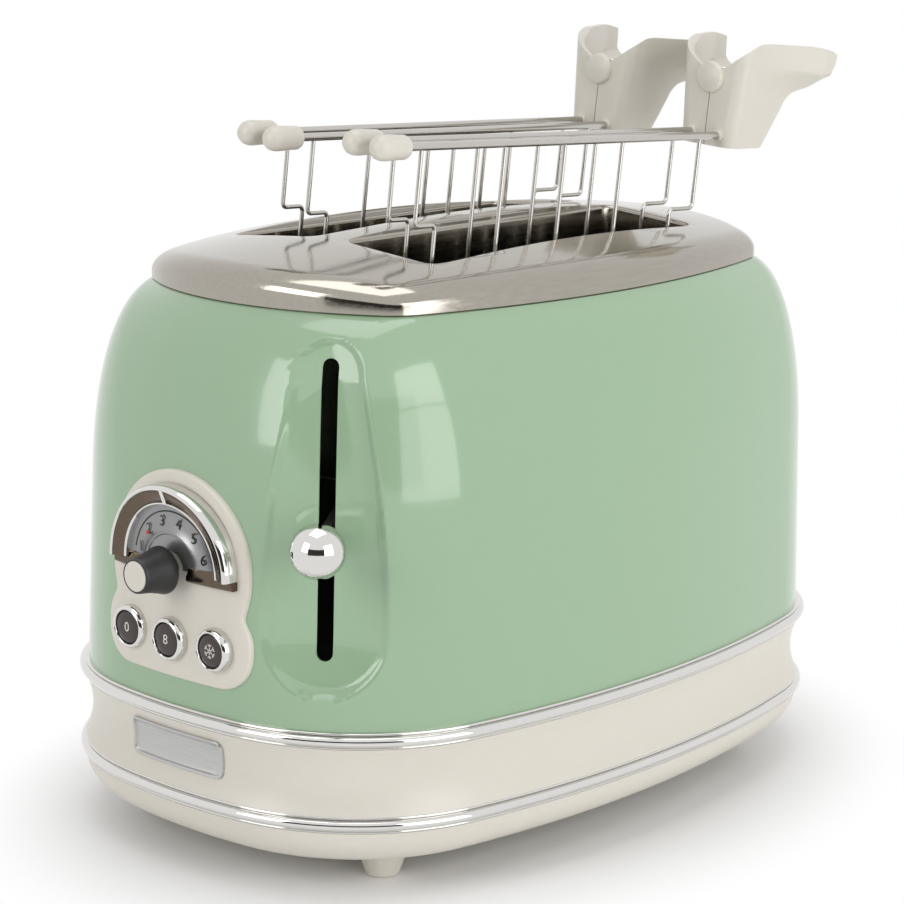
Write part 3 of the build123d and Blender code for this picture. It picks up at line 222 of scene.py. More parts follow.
# Shell with the dished lever surround
def shell_sizes(rise):
    """Plan sizes of the shell at a height over its foot."""
    turn = max(0.0, (rise - SHOULDER_START) / SHOULDER_DROP)
    inset = SHELL_LEAN * rise + SHOULDER_INSET * (1 - sqrt(1 - turn**2))
    full = SHELL_LEAN * SHELL_RISE + SHOULDER_INSET * (1 - cos(SHOULDER_TURN))
    return [a + (b - a) * inset / full for a, b in zip(SHELL_PLAN, PLATE_PLAN)]


def end_x(y, z):
    """Control end of the shell at a height."""
    sizes = shell_sizes(z - SHELL_Z)
    return -(sizes[0] - sizes[2] + sqrt(sizes[2]**2 - y**2))


normal = Vector((-cos(LEVER_TURN) * cos(LEVER_LEAN), -sin(LEVER_TURN) * cos(LEVER_LEAN), sin(LEVER_LEAN)))
across = Vector((sin(LEVER_TURN), -cos(LEVER_TURN), 0))
upward = normal.cross(across)
DISH_LOW, DISH_LOW_RADIUS, DISH_TOP, DISH_TOP_RADIUS = -12.0, 23.0, 77.0, 12.5
DISH_BULGE, DISH_LIP, DISH_FLOOR = 2.6, 2.4, 3.6
DISH_STEP, DISH_FLATTEN, DISH_FLAT_LIMIT, DISH_BEHIND = 0.9, 0.72, 5.0, -25


def flat_depth(offset):
    """How deep a point of the bowed shell stands over the surround's flat plane."""
    return max(0.0, offset.dot(normal))


def dish_depth(x, y, z):
    """How far the lever surround is pressed in at a point of the shell."""
    offset = Vector((x, y, z)) - LEVER_ORIGIN
    u, v = offset.dot(across), offset.dot(upward)
    if offset.dot(normal) < DISH_BEHIND:
        return 0.0
    part = min(1.0, max(0.0, (v - DISH_LOW) / (DISH_TOP - DISH_LOW)))
    centre = DISH_LOW + part * (DISH_TOP - DISH_LOW)
    radius = DISH_LOW_RADIUS + part * (DISH_TOP_RADIUS - DISH_LOW_RADIUS) + DISH_BULGE * sin(pi * part)
    inside = radius - hypot(u, v - centre)
    if inside <= 0:
        return 0.0
    lip = min(1.0, inside / DISH_LIP)
    lip = lip * lip * (3 - 2 * lip)
    bowl = DISH_FLOOR * (1 - (1 - min(1.0, inside / radius))**2)
    return lip * (DISH_STEP + DISH_FLATTEN * min(flat_depth(offset), DISH_FLAT_LIMIT)) + bowl


def shell_rises():
    """Heights of the shell's rows over its foot: even ones, then by angle round the shoulder."""
    straight = [SHOULDER_START * i / SHELL_ROWS for i in range(SHELL_ROWS)]
    return straight + [SHOULDER_START + SHOULDER_DROP * sin(SHOULDER_TURN * i / SHELL_ROWS)
                       for i in range(SHELL_ROWS + 1)]


def enamelled_shell():
    """Thin closed wall, pressed in at the lever surround."""
    outer = []
    inner = []
    for rise in shell_rises():
        z = SHELL_Z + rise
        plan = outline(shell_sizes(rise), 0.0, SHELL_PLAN_STEPS)
        pressed = [(x, y, z, nx, ny, dish_depth(x, y, z)) for x, y, nx, ny in plan]
        outer.append([(x - nx * d, y - ny * d, z) for x, y, z, nx, ny, d in pressed])
        inner.append([(x - nx * (d + SHEET), y - ny * (d + SHEET), z) for x, y, z, nx, ny, d in pressed])
    rows = outer + inner[::-1] + [outer[0]]
    return mesh_piece("shell", [p for row in rows for p in row], ring_faces(len(rows[0]), len(rows)), enamel,
                      "casing", ("outer_shell",))


def cut(piece, cutter):
    """Takes the cutter's shape out of the piece for good."""
    change = piece.modifiers.new("cut", "BOOLEAN")
    change.object = cutter
    change.solver = "EXACT"
    bpy.context.view_layer.update()
    changed = bpy.data.meshes.new_from_object(piece.evaluated_get(bpy.context.evaluated_depsgraph_get()))
    piece.modifiers.clear()
    piece.data = changed
    for polygon in changed.polygons:
        polygon.use_smooth = True
    changed.set_sharp_from_angle(angle=SMOOTH_ANGLE)
    bpy.data.objects.remove(cutter)


def capped_ring_faces(count):
    """Faces of a prism of two rows: its sides, its bottom and its top."""
    return ring_faces(count, 2) + [tuple(range(count))[::-1], tuple(range(count, 2 * count))]


def prism_object(outline_points, low, high, place):
    """Cutter: a flat outline pulled from low to high along its third axis and placed by a matrix."""
    points = [place @ Vector((x, y, h)) * MM for h in (low, high) for x, y in outline_points]
    mesh = bpy.data.meshes.new("cutter")
    mesh.from_pydata(points, [], capped_ring_faces(len(outline_points)))
    cutter = bpy.data.objects.new("cutter", mesh)
    bpy.context.scene.collection.objects.link(cutter)
    return cutter


def stadium(width, low, high):
    """Upright slot outline with round ends."""
    radius = width / 2
    top = arc_profile(0, high - radius, radius, 0, 180, 12)
    return top + arc_profile(0, low + radius, radius, 180, 360, 12)


shell = enamelled_shell()
lever_place = Matrix((across, upward, normal)).transposed().to_4x4()
lever_place.translation = LEVER_ORIGIN
slot_low = (LEVER_SLOT_LOW - LEVER_ORIGIN.z) / cos(LEVER_LEAN)
slot_top = (LEVER_SLOT_TOP - LEVER_ORIGIN.z) / cos(LEVER_LEAN)
LEVER_CUT_BACK, LEVER_CUT_FRONT = -30, 15
lever_slot = stadium(LEVER_SLOT_WIDTH, slot_low, slot_top)
cut(shell, prism_object(lever_slot, LEVER_CUT_BACK, LEVER_CUT_FRONT, lever_place))

# Trim rings: thin lip, round bead, thin lip
TRIM_INSIDE, TRIM_EDGE, TRIM_HEIGHT, TRIM_STEP = -4, 4.0, 6, 1.1
LIP_REACH, LIP_RADIUS, BEAD_REACH, BEAD_RADIUS = 4.1, 0.5, 4.5, 1.95


def trim_ring(name, low, node):
    """One trim ring standing at a height."""
    high = low + TRIM_HEIGHT
    lower_lip = arc_profile(LIP_REACH, low + LIP_RADIUS, LIP_RADIUS, -80, 80, 5)
    bead = arc_profile(BEAD_REACH, low + TRIM_HEIGHT / 2, BEAD_RADIUS, -65, 65, 12)
    upper_lip = arc_profile(LIP_REACH, high - LIP_RADIUS, LIP_RADIUS, -80, 80, 5)
    profile = [(TRIM_INSIDE, low), (TRIM_EDGE, low)] + lower_lip + [(TRIM_EDGE, low + TRIM_STEP)] + bead
    profile += [(TRIM_EDGE, high - TRIM_STEP)] + upper_lip + [(TRIM_EDGE, high), (TRIM_INSIDE, high)]
    swept(name, profile, chrome, (node,))


trim_ring("upper_trim", UPPER_RING_Z, "upper_trim_ring")
trim_ring("lower_trim", LOWER_RING_Z, "lower_trim_ring")

# Cove band with the crumb tray's window
BAND_HEIGHT, BAND_GROW, BAND_FLARE, BAND_INSIDE, BAND_STEPS = 24.6, 1.6, 2.8, -0.8, 16
TRAY_LOW, TRAY_TOP, TRAY_HALF, TRAY_CUT_START, TRAY_CUT_END = 33.6, 44.4, 52.4, 120, 170


def band_reach(part):
    """How far the cove stands out of the plan at a share of its height."""
    return BAND_GROW + BAND_FLARE * (2 * part - 1)**2


def cove_band():
    """Concave band, open at the far end for the crumb tray."""
    parts = [step / BAND_STEPS for step in range(BAND_STEPS + 1)]
    cove = [(band_reach(part), BAND_Z + BAND_HEIGHT * part) for part in parts]
    inside = [(BAND_INSIDE, BAND_Z + BAND_HEIGHT), (BAND_INSIDE, BAND_Z)]
    band = swept("band", cove + inside, cream, ("cream_band",), closed=True)
    window = [(-TRAY_HALF, TRAY_LOW), (TRAY_HALF, TRAY_LOW), (TRAY_HALF, TRAY_TOP), (-TRAY_HALF, TRAY_TOP)]
    far_end = Matrix(((0, 0, 1), (1, 0, 0), (0, 1, 0))).to_4x4()
    cut(band, prism_object(window, TRAY_CUT_START, TRAY_CUT_END, far_end))


cove_band()

# Bowl under the band, with its floor
BOWL_INSET, BOWL_REACH, BOWL_HEIGHT, BOWL_WALL, BOWL_FLOOR = 10.8, 15.2, 14.0, 3.6, 2


def bowl():
    """Rounded base tray."""
    turns = [radians(angle) for angle in range(0, 91, 6)]
    outside = [(BOWL_REACH * sin(t) - BOWL_INSET, BASE_Z + BOWL_HEIGHT * (1 - cos(t))) for t in turns]
    inside = [(grow - BOWL_WALL, z) for grow, z in reversed(outside)]
    swept("bowl", outside + inside, cream, ("base_tray",))
    plan = outline(PLAN, -BOWL_INSET)
    points = [(x, y, z) for z in (BASE_Z, BASE_Z + BOWL_FLOOR) for x, y, _, _ in plan]
    mesh_piece("bowl_floor", points, capped_ring_faces(len(plan)), cream, "casing")


bowl()


def lathe(name, profile, origin, axis, look, body, stands_for=(), segments=72):
    """Turned piece: (radius, along) points round an axis; a radius of 0 closes it."""
    origin, axis = Vector(origin), Vector(axis).normalized()
    side = axis.orthogonal().normalized()
    other = axis.cross(side)
    points = []
    for radius, along in profile:
        for step in range(segments):
            turn = 2 * pi * step / segments
            reach = max(radius, 0.001)
            points.append(origin + axis * along + (side * cos(turn) + other * sin(turn)) * reach)
    return mesh_piece(name, points, ring_faces(segments, len(profile)), look, body, stands_for)


# Feet
FOOT_X, FOOT_Y = 104.5, 57
FOOT = [(0, 0), (5.0, 0), (5.9, 0.25), (6.3, 0.9), (8.0, 6.0), (9.6, 10.6), (10.2, 13.0)]
for side, sx in (("control", -1), ("far", 1)):
    for row, sy in (("front", -1), ("rear", 1)):
        place = (sx * FOOT_X, sy * FOOT_Y, 0)
        lathe(f"foot_{side}_{row}", FOOT, place, (0, 0, 1), cream, "casing")


# Top plate: a dome with a rolled rim and two slots with rolled-over walls
def dome(x, y):
    """Height of the domed top."""
    return DOME_Z - x * x / (2 * DOME_ALONG) - y * y / (2 * DOME_ACROSS)


def rounded_slot(sign, grow):
    """Plan points of a bread slot, grown by a distance."""
    points = []
    low, high = SLOT_Y - SLOT_WIDTH / 2, SLOT_Y + SLOT_WIDTH / 2
    corners = ((SLOT_END, high, 0), (SLOT_START, high, 90), (SLOT_START, low, 180), (SLOT_END, low, 270))
    for x, y, start in corners:
        cx = x - SLOT_ROUND if x > 0 else x + SLOT_ROUND
        cy = y - SLOT_ROUND if y == high else y + SLOT_ROUND
        points += arc_profile(cx, cy, SLOT_ROUND + grow, start, start + 90, 8)
    return [(x, sign * y) for x, y in points]


RIM_OUT, RIM_DROP, RIM_STEPS, RIM_LIP = 9.0, 6.0, 14, 0.6
ROLL, ROLL_STEPS, SLOT_WALL, SLOT_WALL_DROP = 1.6, 6, 1.2, 2.4
GRID, GRID_CLEAR, GRID_COLUMNS, GRID_ROWS = 4.0, 2.2, 31, 19
WELD_DISTANCE = 0.00002


def plate_rim():
    """Rows of points from under the plate's foot up over its round rim."""
    rows = [[(x, y, PLATE_Z) for x, y, _, _ in outline(PLATE_PLAN, -inset)] for inset in (2.0, RIM_LIP)]
    rows.append([(x, y, PLATE_Z + RIM_LIP) for x, y, _, _ in outline(PLATE_PLAN)])
    for step in range(RIM_STEPS + 1):
        turn = radians(90 * step / RIM_STEPS)
        inset = RIM_OUT * (1 - cos(turn))
        rows.append([(x, y, dome(x, y) - RIM_DROP * (1 - sin(turn)))
                     for x, y, _, _ in outline(PLATE_PLAN, -inset)])
    return rows


def in_loop(x, y, loop):
    """Whether a point lies inside a closed loop."""
    hit = False
    for (x1, y1), (x2, y2) in zip(loop, loop[1:] + loop[:1]):
        if (y1 > y) != (y2 > y) and x < x1 + (y - y1) / (y2 - y1) * (x2 - x1):
            hit = not hit
    return hit


def on_dome(x, y, loops):
    """Whether a point lies inside the rim, the first loop, and outside the slots."""
    return in_loop(x, y, loops[0]) and not any(in_loop(x, y, slot) for slot in loops[1:])


def dome_points(loops):
    """Points of the loops, and of a staggered grid that keeps clear of them."""
    points = [p for loop in loops for p in loop]
    for column in range(-GRID_COLUMNS, GRID_COLUMNS + 1):
        for row in range(-GRID_ROWS, GRID_ROWS + 1):
            x, y = column * GRID + (row % 2) * GRID / 2, row * GRID
            near = min(hypot(x - px, y - py) for px, py in points)
            if near > GRID_CLEAR and on_dome(x, y, loops):
                points.append((x, y))
    return points


def dome_mesh(loops):
    """Points and triangles of the domed top between its rim and its slots."""
    edges = []
    start = 0
    for loop in loops:
        edges += [(start + i, start + (i + 1) % len(loop)) for i in range(len(loop))]
        start += len(loop)
    flat = [Vector(p) for p in dome_points(loops)]
    vertices, _, faces, _, _, _ = delaunay_2d_cdt(flat, edges, [], 0, 1e-5)
    kept = []
    for face in faces:
        middle = sum((vertices[i] for i in face), Vector((0, 0))) / len(face)
        if on_dome(middle.x, middle.y, loops):
            kept.append(face)
    return [(v.x, v.y, dome(v.x, v.y)) for v in vertices], kept


def slot_wall(sign):
    """Rows of points rolled over a slot's edge, down its wall and up again behind it."""
    rows = []
    for step in range(ROLL_STEPS + 1):
        turn = radians(90 * step / ROLL_STEPS)
        grow, drop = ROLL * (1 - sin(turn)), ROLL * (1 - cos(turn))
        rows.append([(x, y, dome(x, y) - drop) for x, y in rounded_slot(sign, grow)])
    rows.append([(x, y, PLATE_Z + 1) for x, y in rounded_slot(sign, 0)])
    rows.append([(x, y, PLATE_Z + 1) for x, y in rounded_slot(sign, SLOT_WALL)])
    rows.append([(x, y, dome(x, y) - SLOT_WALL_DROP) for x, y in rounded_slot(sign, SLOT_WALL)])
    return rows


def weld(mesh):
    """Joins points that lie on each other and turns faces the same way."""
    work = bmesh.new()
    work.from_mesh(mesh)
    bmesh.ops.remove_doubles(work, verts=work.verts, dist=WELD_DISTANCE)
    bmesh.ops.recalc_face_normals(work, faces=work.faces)
    work.to_mesh(mesh)
    work.free()


def top_cover():
    """Rim, domed top and slot walls as one sheet."""
    rim = plate_rim()
    points = [p for row in rim for p in row]
    faces = ring_faces(len(rim[0]), len(rim))
    loops = [[(x, y) for x, y, _ in rim[-1]]] + [rounded_slot(sign, ROLL) for sign in (-1, 1)]
    top_points, top_faces = dome_mesh(loops)
    faces += [tuple(len(points) + i for i in face) for face in top_faces]
    points += top_points
    for sign in (-1, 1):
        rows = slot_wall(sign)
        faces += ring_faces(len(rows[0]), len(rows), len(points))
        points += [p for row in rows for p in row]
    mesh = bpy.data.meshes.new("top_cover")
    mesh.from_pydata([Vector(p) * MM for p in points], [], faces)
    mesh.validate()
    weld(mesh)
    dress("top_cover", mesh, steel, "casing", ("top_plate",))


top_cover()

# Reliefs on the control end, drawn as seen from outside: across is -Y, up is Z
PANEL_CIRCLE, PANEL_BLEND, PANEL_MIDDLE = 34.5, 3.0, 105
LOBE_LOW, LOBE_TOP, LOBE_HALF, LOBE_ROUND = 72.3, 101.0, 36.0, 13.0
BADGE_Z, BADGE_HALF_LENGTH, BADGE_HALF_HEIGHT, BADGE_ROUND = 45.4, 23.0, 7.0, 2.5
TRACE_REACH, TRACE_HALVINGS, RELIEF_POINTS = 80.0, 34, 160
RELIEF_RINGS = (0.85, 0.7, 0.55, 0.4, 0.25, 0.1, 0.001)


def smooth_union(a, b, blend):
    """Distance to two joined shapes with a filleted corner between them."""
    part = max(blend - abs(a - b), 0) / blend
    return min(a, b) - part * part * blend / 4


def rounded_box(u, v, half_u, half_v, radius):
    """Distance to a box with round corners, negative inside."""
    qu, qv = abs(u) - half_u + radius, abs(v) - half_v + radius
    return hypot(max(qu, 0), max(qv, 0)) + min(max(qu, qv), 0) - radius


def panel_shape(u, v):
    """Control panel: a circle round the dial on a wide lobe with the buttons."""
    circle = hypot(u, v - DIAL_Z) - PANEL_CIRCLE
    lobe = rounded_box(u, v - (LOBE_LOW + LOBE_TOP) / 2, LOBE_HALF, (LOBE_TOP - LOBE_LOW) / 2, LOBE_ROUND)
    return smooth_union(circle, lobe, PANEL_BLEND)


def badge_shape(u, v):
    """Badge plate on the band."""
    return rounded_box(u, v - BADGE_Z, BADGE_HALF_LENGTH, BADGE_HALF_HEIGHT, BADGE_ROUND)


def traced(shape, inset, centre):
    """Outline where a shape is inset deep, found along rays from a point inside it."""
    points = []
    for step in range(RELIEF_POINTS):
        turn = 2 * pi * step / RELIEF_POINTS
        near, far = 0.0, TRACE_REACH
        for _ in range(TRACE_HALVINGS):
            reach = (near + far) / 2
            if shape(centre[0] + reach * cos(turn), centre[1] + reach * sin(turn)) > -inset:
                far = reach
            else:
                near = reach
        points.append((centre[0] + near * cos(turn), centre[1] + near * sin(turn)))
    return points


def relief(name, shape, centre, levels, ground, look, slot, stands_for):
    """Low relief on the control end: (inset, height) rows over a ground surface, then a full top."""
    rows = [[(ground(-u, v) - height, -u, v) for u, v in traced(shape, inset, centre)]
            for inset, height in levels]
    edge = [(-p[1], p[2]) for p in rows[-1]]
    for part in RELIEF_RINGS:
        ring = [(centre[0] + (u - centre[0]) * part, centre[1] + (v - centre[1]) * part) for u, v in edge]
        rows.append([(ground(-u, v) - levels[-1][1], -u, v) for u, v in ring])
    return mesh_piece(name, [p for row in rows for p in row], ring_faces(RELIEF_POINTS, len(rows)), look,
                      "casing", stands_for)


panel_levels = [(0, -0.6), (0, 1.0), (0.15, 1.5), (0.5, 1.85), (1.1, PANEL_HEIGHT)]
relief("panel", panel_shape, (0, PANEL_MIDDLE), panel_levels, end_x, cream, "cream_plastic",
       ("control_panel",))


def band_x(y, z):
    """Control end of the cove band."""
    grow = band_reach((z - BAND_Z) / BAND_HEIGHT)
    return -(PLAN[0] - PLAN[2] + sqrt((PLAN[2] + grow)**2 - y * y))


badge_levels = [(0, -0.3), (0, 0.9), (0.25, 1.2), (1.0, 1.2), (1.4, 0.55), (1.8, 0.45)]
relief("badge", badge_shape, (0, BADGE_Z), badge_levels, band_x, badge_metal, "badge_metal", ("badge_plate",))

# Dial: bevelled half ring with a bar, dished grey face with numerals; profiles are (radius, height)
DIAL_CURVE, HALF_RING_STEPS, DISH_STEPS, BAR_DROP = 420.0, 64, 48, 2.9
OUTER_RIB = [(30.0, -0.5), (30.0, 3.6), (29.9, 4.6), (29.5, 5.5), (28.9, 6.0), (28.3, 5.9), (28.0, 5.5),
             (27.9, -0.5)]
INNER_BEVEL = [(27.9, -0.5), (27.9, 5.4), (27.2, 5.3), (24.2, 3.2), (23.7, 2.7), (23.6, -0.5)]
INNER_LIP = [(23.7, -0.5), (23.7, 3.0), (23.4, 3.4), (22.9, 3.4), (22.6, 3.0), (22.6, -0.5)]
BAR = [(0, -0.4), (2.3, -0.4), (2.9, 0.2), (2.9, 1.6), (2.3, 2.6), (1.9, 4.0), (1.2, 4.7), (0, 4.7)]
BAR_STATIONS = (9.2, 14.0, 19.0, 24.0, 29.9)
# Painted highlight on the dial's bevel: corners of a bright bar, as (across, radius, height)
PAINTED_HIGHLIGHT_BAR = [(-0.9, 23.2, 3.9), (0.9, 23.2, 3.9), (0.9, 28.4, 6.1), (-0.9, 28.4, 6.1)]
DISH = [(22.6, 1.0), (21.6, 1.0), (20.4, 0.5), (13.5, 1.4), (12.9, 1.9), (12.3, 1.9), (11.8, 1.3), (6.0, 1.2)]
NUMERAL_REACH, NUMERAL_SIZE, NUMERAL_START, NUMERAL_STEP, NUMERAL_HEIGHT = 16.6, 5.4, 163, 29, 1.35
LINE_STEPS, LINE_START, LINE_SPAN, LINE_EDGES = 40, 168, 156, ((20.3, 0.62), (19.8, 0.7))
SPOT_U, SPOT_V, SPOT_RADIUS, SPOT_HEIGHT = -11.4, 10.7, 0.8, 1.95
PRINT_DEPTH = 0.03
panel_x = end_x(0, DIAL_Z) - PANEL_HEIGHT


def end_point(u, v, height):
    """Point in front of the panel, which curves back to its sides, as seen from outside."""
    return (panel_x + u * u / DIAL_CURVE - height, -u, v)


def dial_point(radius, turn, height):
    """Point of the dial at a radius and an angle."""
    return end_point(radius * cos(turn), DIAL_Z + radius * sin(turn), height)


def half_ring(name, profile, look, stands_for=()):
    """Profile carried round the upper half of the dial."""
    points = []
    for step in range(HALF_RING_STEPS + 1):
        points += [dial_point(r, pi * step / HALF_RING_STEPS, h) for r, h in profile]
    count = len(profile)
    faces = ring_faces(count, HALF_RING_STEPS + 1)
    faces += [tuple(range(count)), tuple(range(HALF_RING_STEPS * count, len(points)))[::-1]]
    mesh_piece(name, points, faces, look, "casing", stands_for)


def dial_bar(side, sign):
    """Half of the bar under the dial."""
    points = []
    for u in BAR_STATIONS:
        points += [end_point(sign * u, DIAL_Z - BAR_DROP + z, h) for h, z in BAR]
    count = len(BAR)
    faces = ring_faces(count, len(BAR_STATIONS))
    faces += [tuple(range(count))[::-1], tuple(range(len(points) - count, len(points)))]
    # The bar is chrome with painted shade, coloured dark
    mesh_piece(f"dial_bar_{side}", points, faces, chrome_painted_shade, "casing")


def dial_painted_highlight():
    """Painted highlight: a bright chrome bar across the top of the bevel."""
    points = [end_point(u, DIAL_Z + r, h) for u, r, h in PAINTED_HIGHLIGHT_BAR]
    points += [end_point(u, DIAL_Z + r, 1) for u, r, _ in PAINTED_HIGHLIGHT_BAR]
    faces = [(0, 1, 2, 3), (0, 4, 5, 1), (1, 5, 6, 2), (2, 6, 7, 3), (3, 7, 4, 0)]
    mesh_piece("dial_painted_highlight", points, faces, chrome, "casing", smooth=False)


def dial_face():
    """Dished grey plate."""
    points = []
    for step in range(DISH_STEPS + 1):
        points += [dial_point(r, pi * step / DISH_STEPS, h) for r, h in DISH]
    count = len(DISH)
    faces = [(a * count + i, a * count + i + 1, (a + 1) * count + i + 1, (a + 1) * count + i)
             for a in range(DISH_STEPS) for i in range(count - 1)]
    mesh_piece("dial_face", points, faces, dial_grey, "casing", ("dial_plate",))


def printed(name, word, place, size, look, body):
    """Thin raised figure on the control end."""
    curve = bpy.data.curves.new(name, "FONT")
    curve.body = word
    curve.size = size * MM
    curve.align_x = "CENTER"
    curve.align_y = "CENTER"
    curve.extrude = PRINT_DEPTH * MM
    holder = bpy.data.objects.new(name, curve)
    mesh = bpy.data.meshes.new_from_object(holder)
    bpy.data.objects.remove(holder)
    stand = Matrix(((0, 0, -1), (-1, 0, 0), (0, 1, 0))).to_4x4()
    stand.translation = Vector(place) * MM
    mesh.transform(stand)
    dress(name, mesh, look, body, smooth=False)


def dial_numerals():
    """1 to 6 round the dial."""
    for step, word in enumerate("123456"):
        turn = radians(NUMERAL_START - step * NUMERAL_STEP)
        place = dial_point(NUMERAL_REACH, turn, NUMERAL_HEIGHT)
        printed(f"numeral_{word}", word, place, NUMERAL_SIZE, ink, "casing")


def dial_spot():
    """Red spot beside the first numeral."""
    points = []
    for angle in range(0, 360, 20):
        turn = radians(angle)
        u, v = SPOT_U + SPOT_RADIUS * cos(turn), DIAL_Z + SPOT_V + SPOT_RADIUS * sin(turn)
        points.append(end_point(u, v, SPOT_HEIGHT))
    mesh_piece("dial_spot", points, [tuple(range(len(points)))], red_ink, "casing",
               smooth=False)


def dial_line():
    """Thin dark arc outside the numerals."""
    points = []
    for step in range(LINE_STEPS + 1):
        turn = radians(LINE_START - LINE_SPAN * step / LINE_STEPS)
        points += [dial_point(r, turn, h) for r, h in LINE_EDGES]
    faces = [(2 * i, 2 * i + 1, 2 * i + 3, 2 * i + 2) for i in range(LINE_STEPS)]
    mesh_piece("dial_line", points, faces, ink, "casing")


half_ring("dial_bezel_ring", OUTER_RIB, chrome, ("dial_bezel",))
# The bevel is chrome with painted shade, darker than the chrome rib and lip beside it
half_ring("dial_bevel", INNER_BEVEL, chrome_painted_shade)
half_ring("dial_lip", INNER_LIP, chrome)
dial_bar("left", -1)
dial_bar("right", 1)
dial_painted_highlight()
dial_face()
dial_numerals()
dial_spot()
dial_line()

# Knob: smooth waisted cone with a cream disc set in its end
KNOB_DISC = [(5.4, -0.6), (5.4, 0.0), (5.2, 0.1), (4.6, 0.16), (0, 0.18)]


def knob():
    """Browning knob over the length of its solid."""
    low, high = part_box("browning_knob")
    back, tip = high.x / MM, low.x / MM
    length = back - tip
    skirt = [(4, 0), (8.2, 0), (8.6, 0.5), (8.6, 1.4), (8.0, 3.2), (7.3, 6.0)]
    end = [(6.8, 0.62 * length), (6.4, length - 1.2), (6.25, length - 0.4), (5.95, length), (5.55, length),
           (5.45, length - 0.5), (0, length - 0.5)]
    lathe("knob", skirt + end, (back, 0, DIAL_Z), (-1, 0, 0), black, "knob",
          ("browning_knob",))
    lathe("knob_disc", KNOB_DISC, (tip, 0, DIAL_Z), (-1, 0, 0), cream, "knob",
          ("knob_cap",))


knob()

# Button rings, buttons and the symbols on them
BUTTON_RING = [(7.9, 0), (8.0, 1.2), (7.9, 2.6), (7.5, 3.7), (6.9, 4.3), (6.5, 4.4), (6.2, 4.1), (6.1, 3.4),
               (6.1, 0)]
BUTTON_FACE = [(5.9, -2), (5.9, 3.3), (5.7, 3.7), (5.3, 3.9), (3.0, 4.0), (0, 4.05)]
BUTTON_RIM_HEIGHT, SYMBOL_HEIGHT, SYMBOL_SIZE = 4.4, 4.1, 5.0
FLAKE_BAR = ((-2.6, -0.22), (2.6, -0.22), (2.6, 0.22), (-2.6, 0.22))
FLAKE_BARB = ((1.5, -0.18), (2.6, 0.75), (2.35, 0.95), (1.25, 0.05))


def snowflake(front):
    """Three crossed bars, each with four barbs."""
    x, y, z = front
    barbs = [(end, lean, FLAKE_BARB) for end in (-1, 1) for lean in (-1, 1)]
    points = []
    for angle in (30, 90, 150):
        turn = radians(angle)
        for end, lean, stroke in [(1, 1, FLAKE_BAR)] + barbs:
            points += [(x - PRINT_DEPTH, y - end * (a * cos(turn) - lean * b * sin(turn)),
                        z + end * (a * sin(turn) + lean * b * cos(turn))) for a, b in stroke]
    faces = [tuple(range(start, start + 4)) for start in range(0, len(points), 4)]
    mesh_piece("symbol_defrost", points, faces, white_ink, "button_right", smooth=False)


def button(name, sign):
    """Push button in its ring, and the place for its symbol."""
    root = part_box(f"button_ring_{name}")[0].x / MM + BUTTON_RIM_HEIGHT
    place = (root, sign * BUTTON_PITCH, BUTTON_Z)
    lathe(f"button_rim_{name}", BUTTON_RING, place, (-1, 0, 0), chrome, "casing",
          (f"button_ring_{name}",))
    lathe(f"button_{name}", BUTTON_FACE, place, (-1, 0, 0), brown, f"button_{name}",
          (f"push_button_{name}",))
    return (root - SYMBOL_HEIGHT, sign * BUTTON_PITCH, BUTTON_Z)


printed("symbol_cancel", "0", button("left", 1), SYMBOL_SIZE, white_ink, "button_left")
printed("symbol_reheat", "8", button("middle", 0), SYMBOL_SIZE, white_ink, "button_middle")
snowflake(button("right", -1))

# Lever ball
BALL_STEPS, SEAM_DEPTH = 48, 0.12


def lever_ball():
    """Chromed ball with a fine seam round its middle."""
    low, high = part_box("lever_ball")
    radius = (high.z - low.z) / (2 * MM)
    profile = [(0, -radius)]
    for step in range(1, BALL_STEPS):
        turn = -pi / 2 + pi * step / BALL_STEPS
        groove = SEAM_DEPTH if 2 * step == BALL_STEPS else 0.0
        profile.append(((radius - groove) * cos(turn), radius * sin(turn)))
    profile.append((0, radius))
    lathe("ball", profile, (low + high) / (2 * MM), (0, 0, 1), chrome, "carriage",
          ("lever_ball",))


lever_ball()

# Tongs: each stands in its own frame, x along the rods from the near end, z up
TONG_GAP, TONG_LENGTH, CAP_START = 13.0, 173.0, -20.2
HANDLE_LOW, HANDLE_TOP, HANDLE_DEPTH, PIVOT_HEIGHT, HANDLE_WALL = -4.5, 36.8, 42.6, 22.0, 2.4
HANDLE_PATH, HANDLE_HALF, HANDLE_WIDEN, HANDLE_CORNER, HALF_GAP = 55.2, 13.2, 3.2, 5.5, 0.2
NOTCH_LOW, NOTCH_RISE, NOTCH_LENGTH = 2.5, 12.2, 24.0
TOP_DROP, TOP_DROP_START = 2.5, 40.0
FLARE, FLARE_START, FLARE_HEIGHT, FLARE_DEPTH_START, FLARE_DEPTH = 12.6, 13.0, 13.0, 6.0, 30
HANDLE_COLUMNS, HANDLE_LEVELS, HANDLE_EDGE = 80, 22, 0.7
UNDERSIDE = [(0.0, -4.5), (17.0, -4.5), (27.0, 11.0), (30.5, 17.5), (37.5, 20.5), (42.6, 31.0)]


def tong_frame(x, y, z, turn, tilt, lean):
    """Matrix of a tong's frame, its place in millimetres and its turns in degrees."""
    place = Matrix.Translation((x, y, z))
    for angle, axis in ((turn, "Z"), (tilt, "Y"), (lean, "X")):
        place = place @ Matrix.Rotation(radians(angle), 4, axis)
    return place


def underside(depth):
    """Lowest height of the handle's wall at a depth behind its front."""
    for (near, low), (far, high) in zip(UNDERSIDE, UNDERSIDE[1:]):
        if depth <= far:
            return low + (high - low) * max(0.0, depth - near) / (far - near)
    return UNDERSIDE[-1][1]


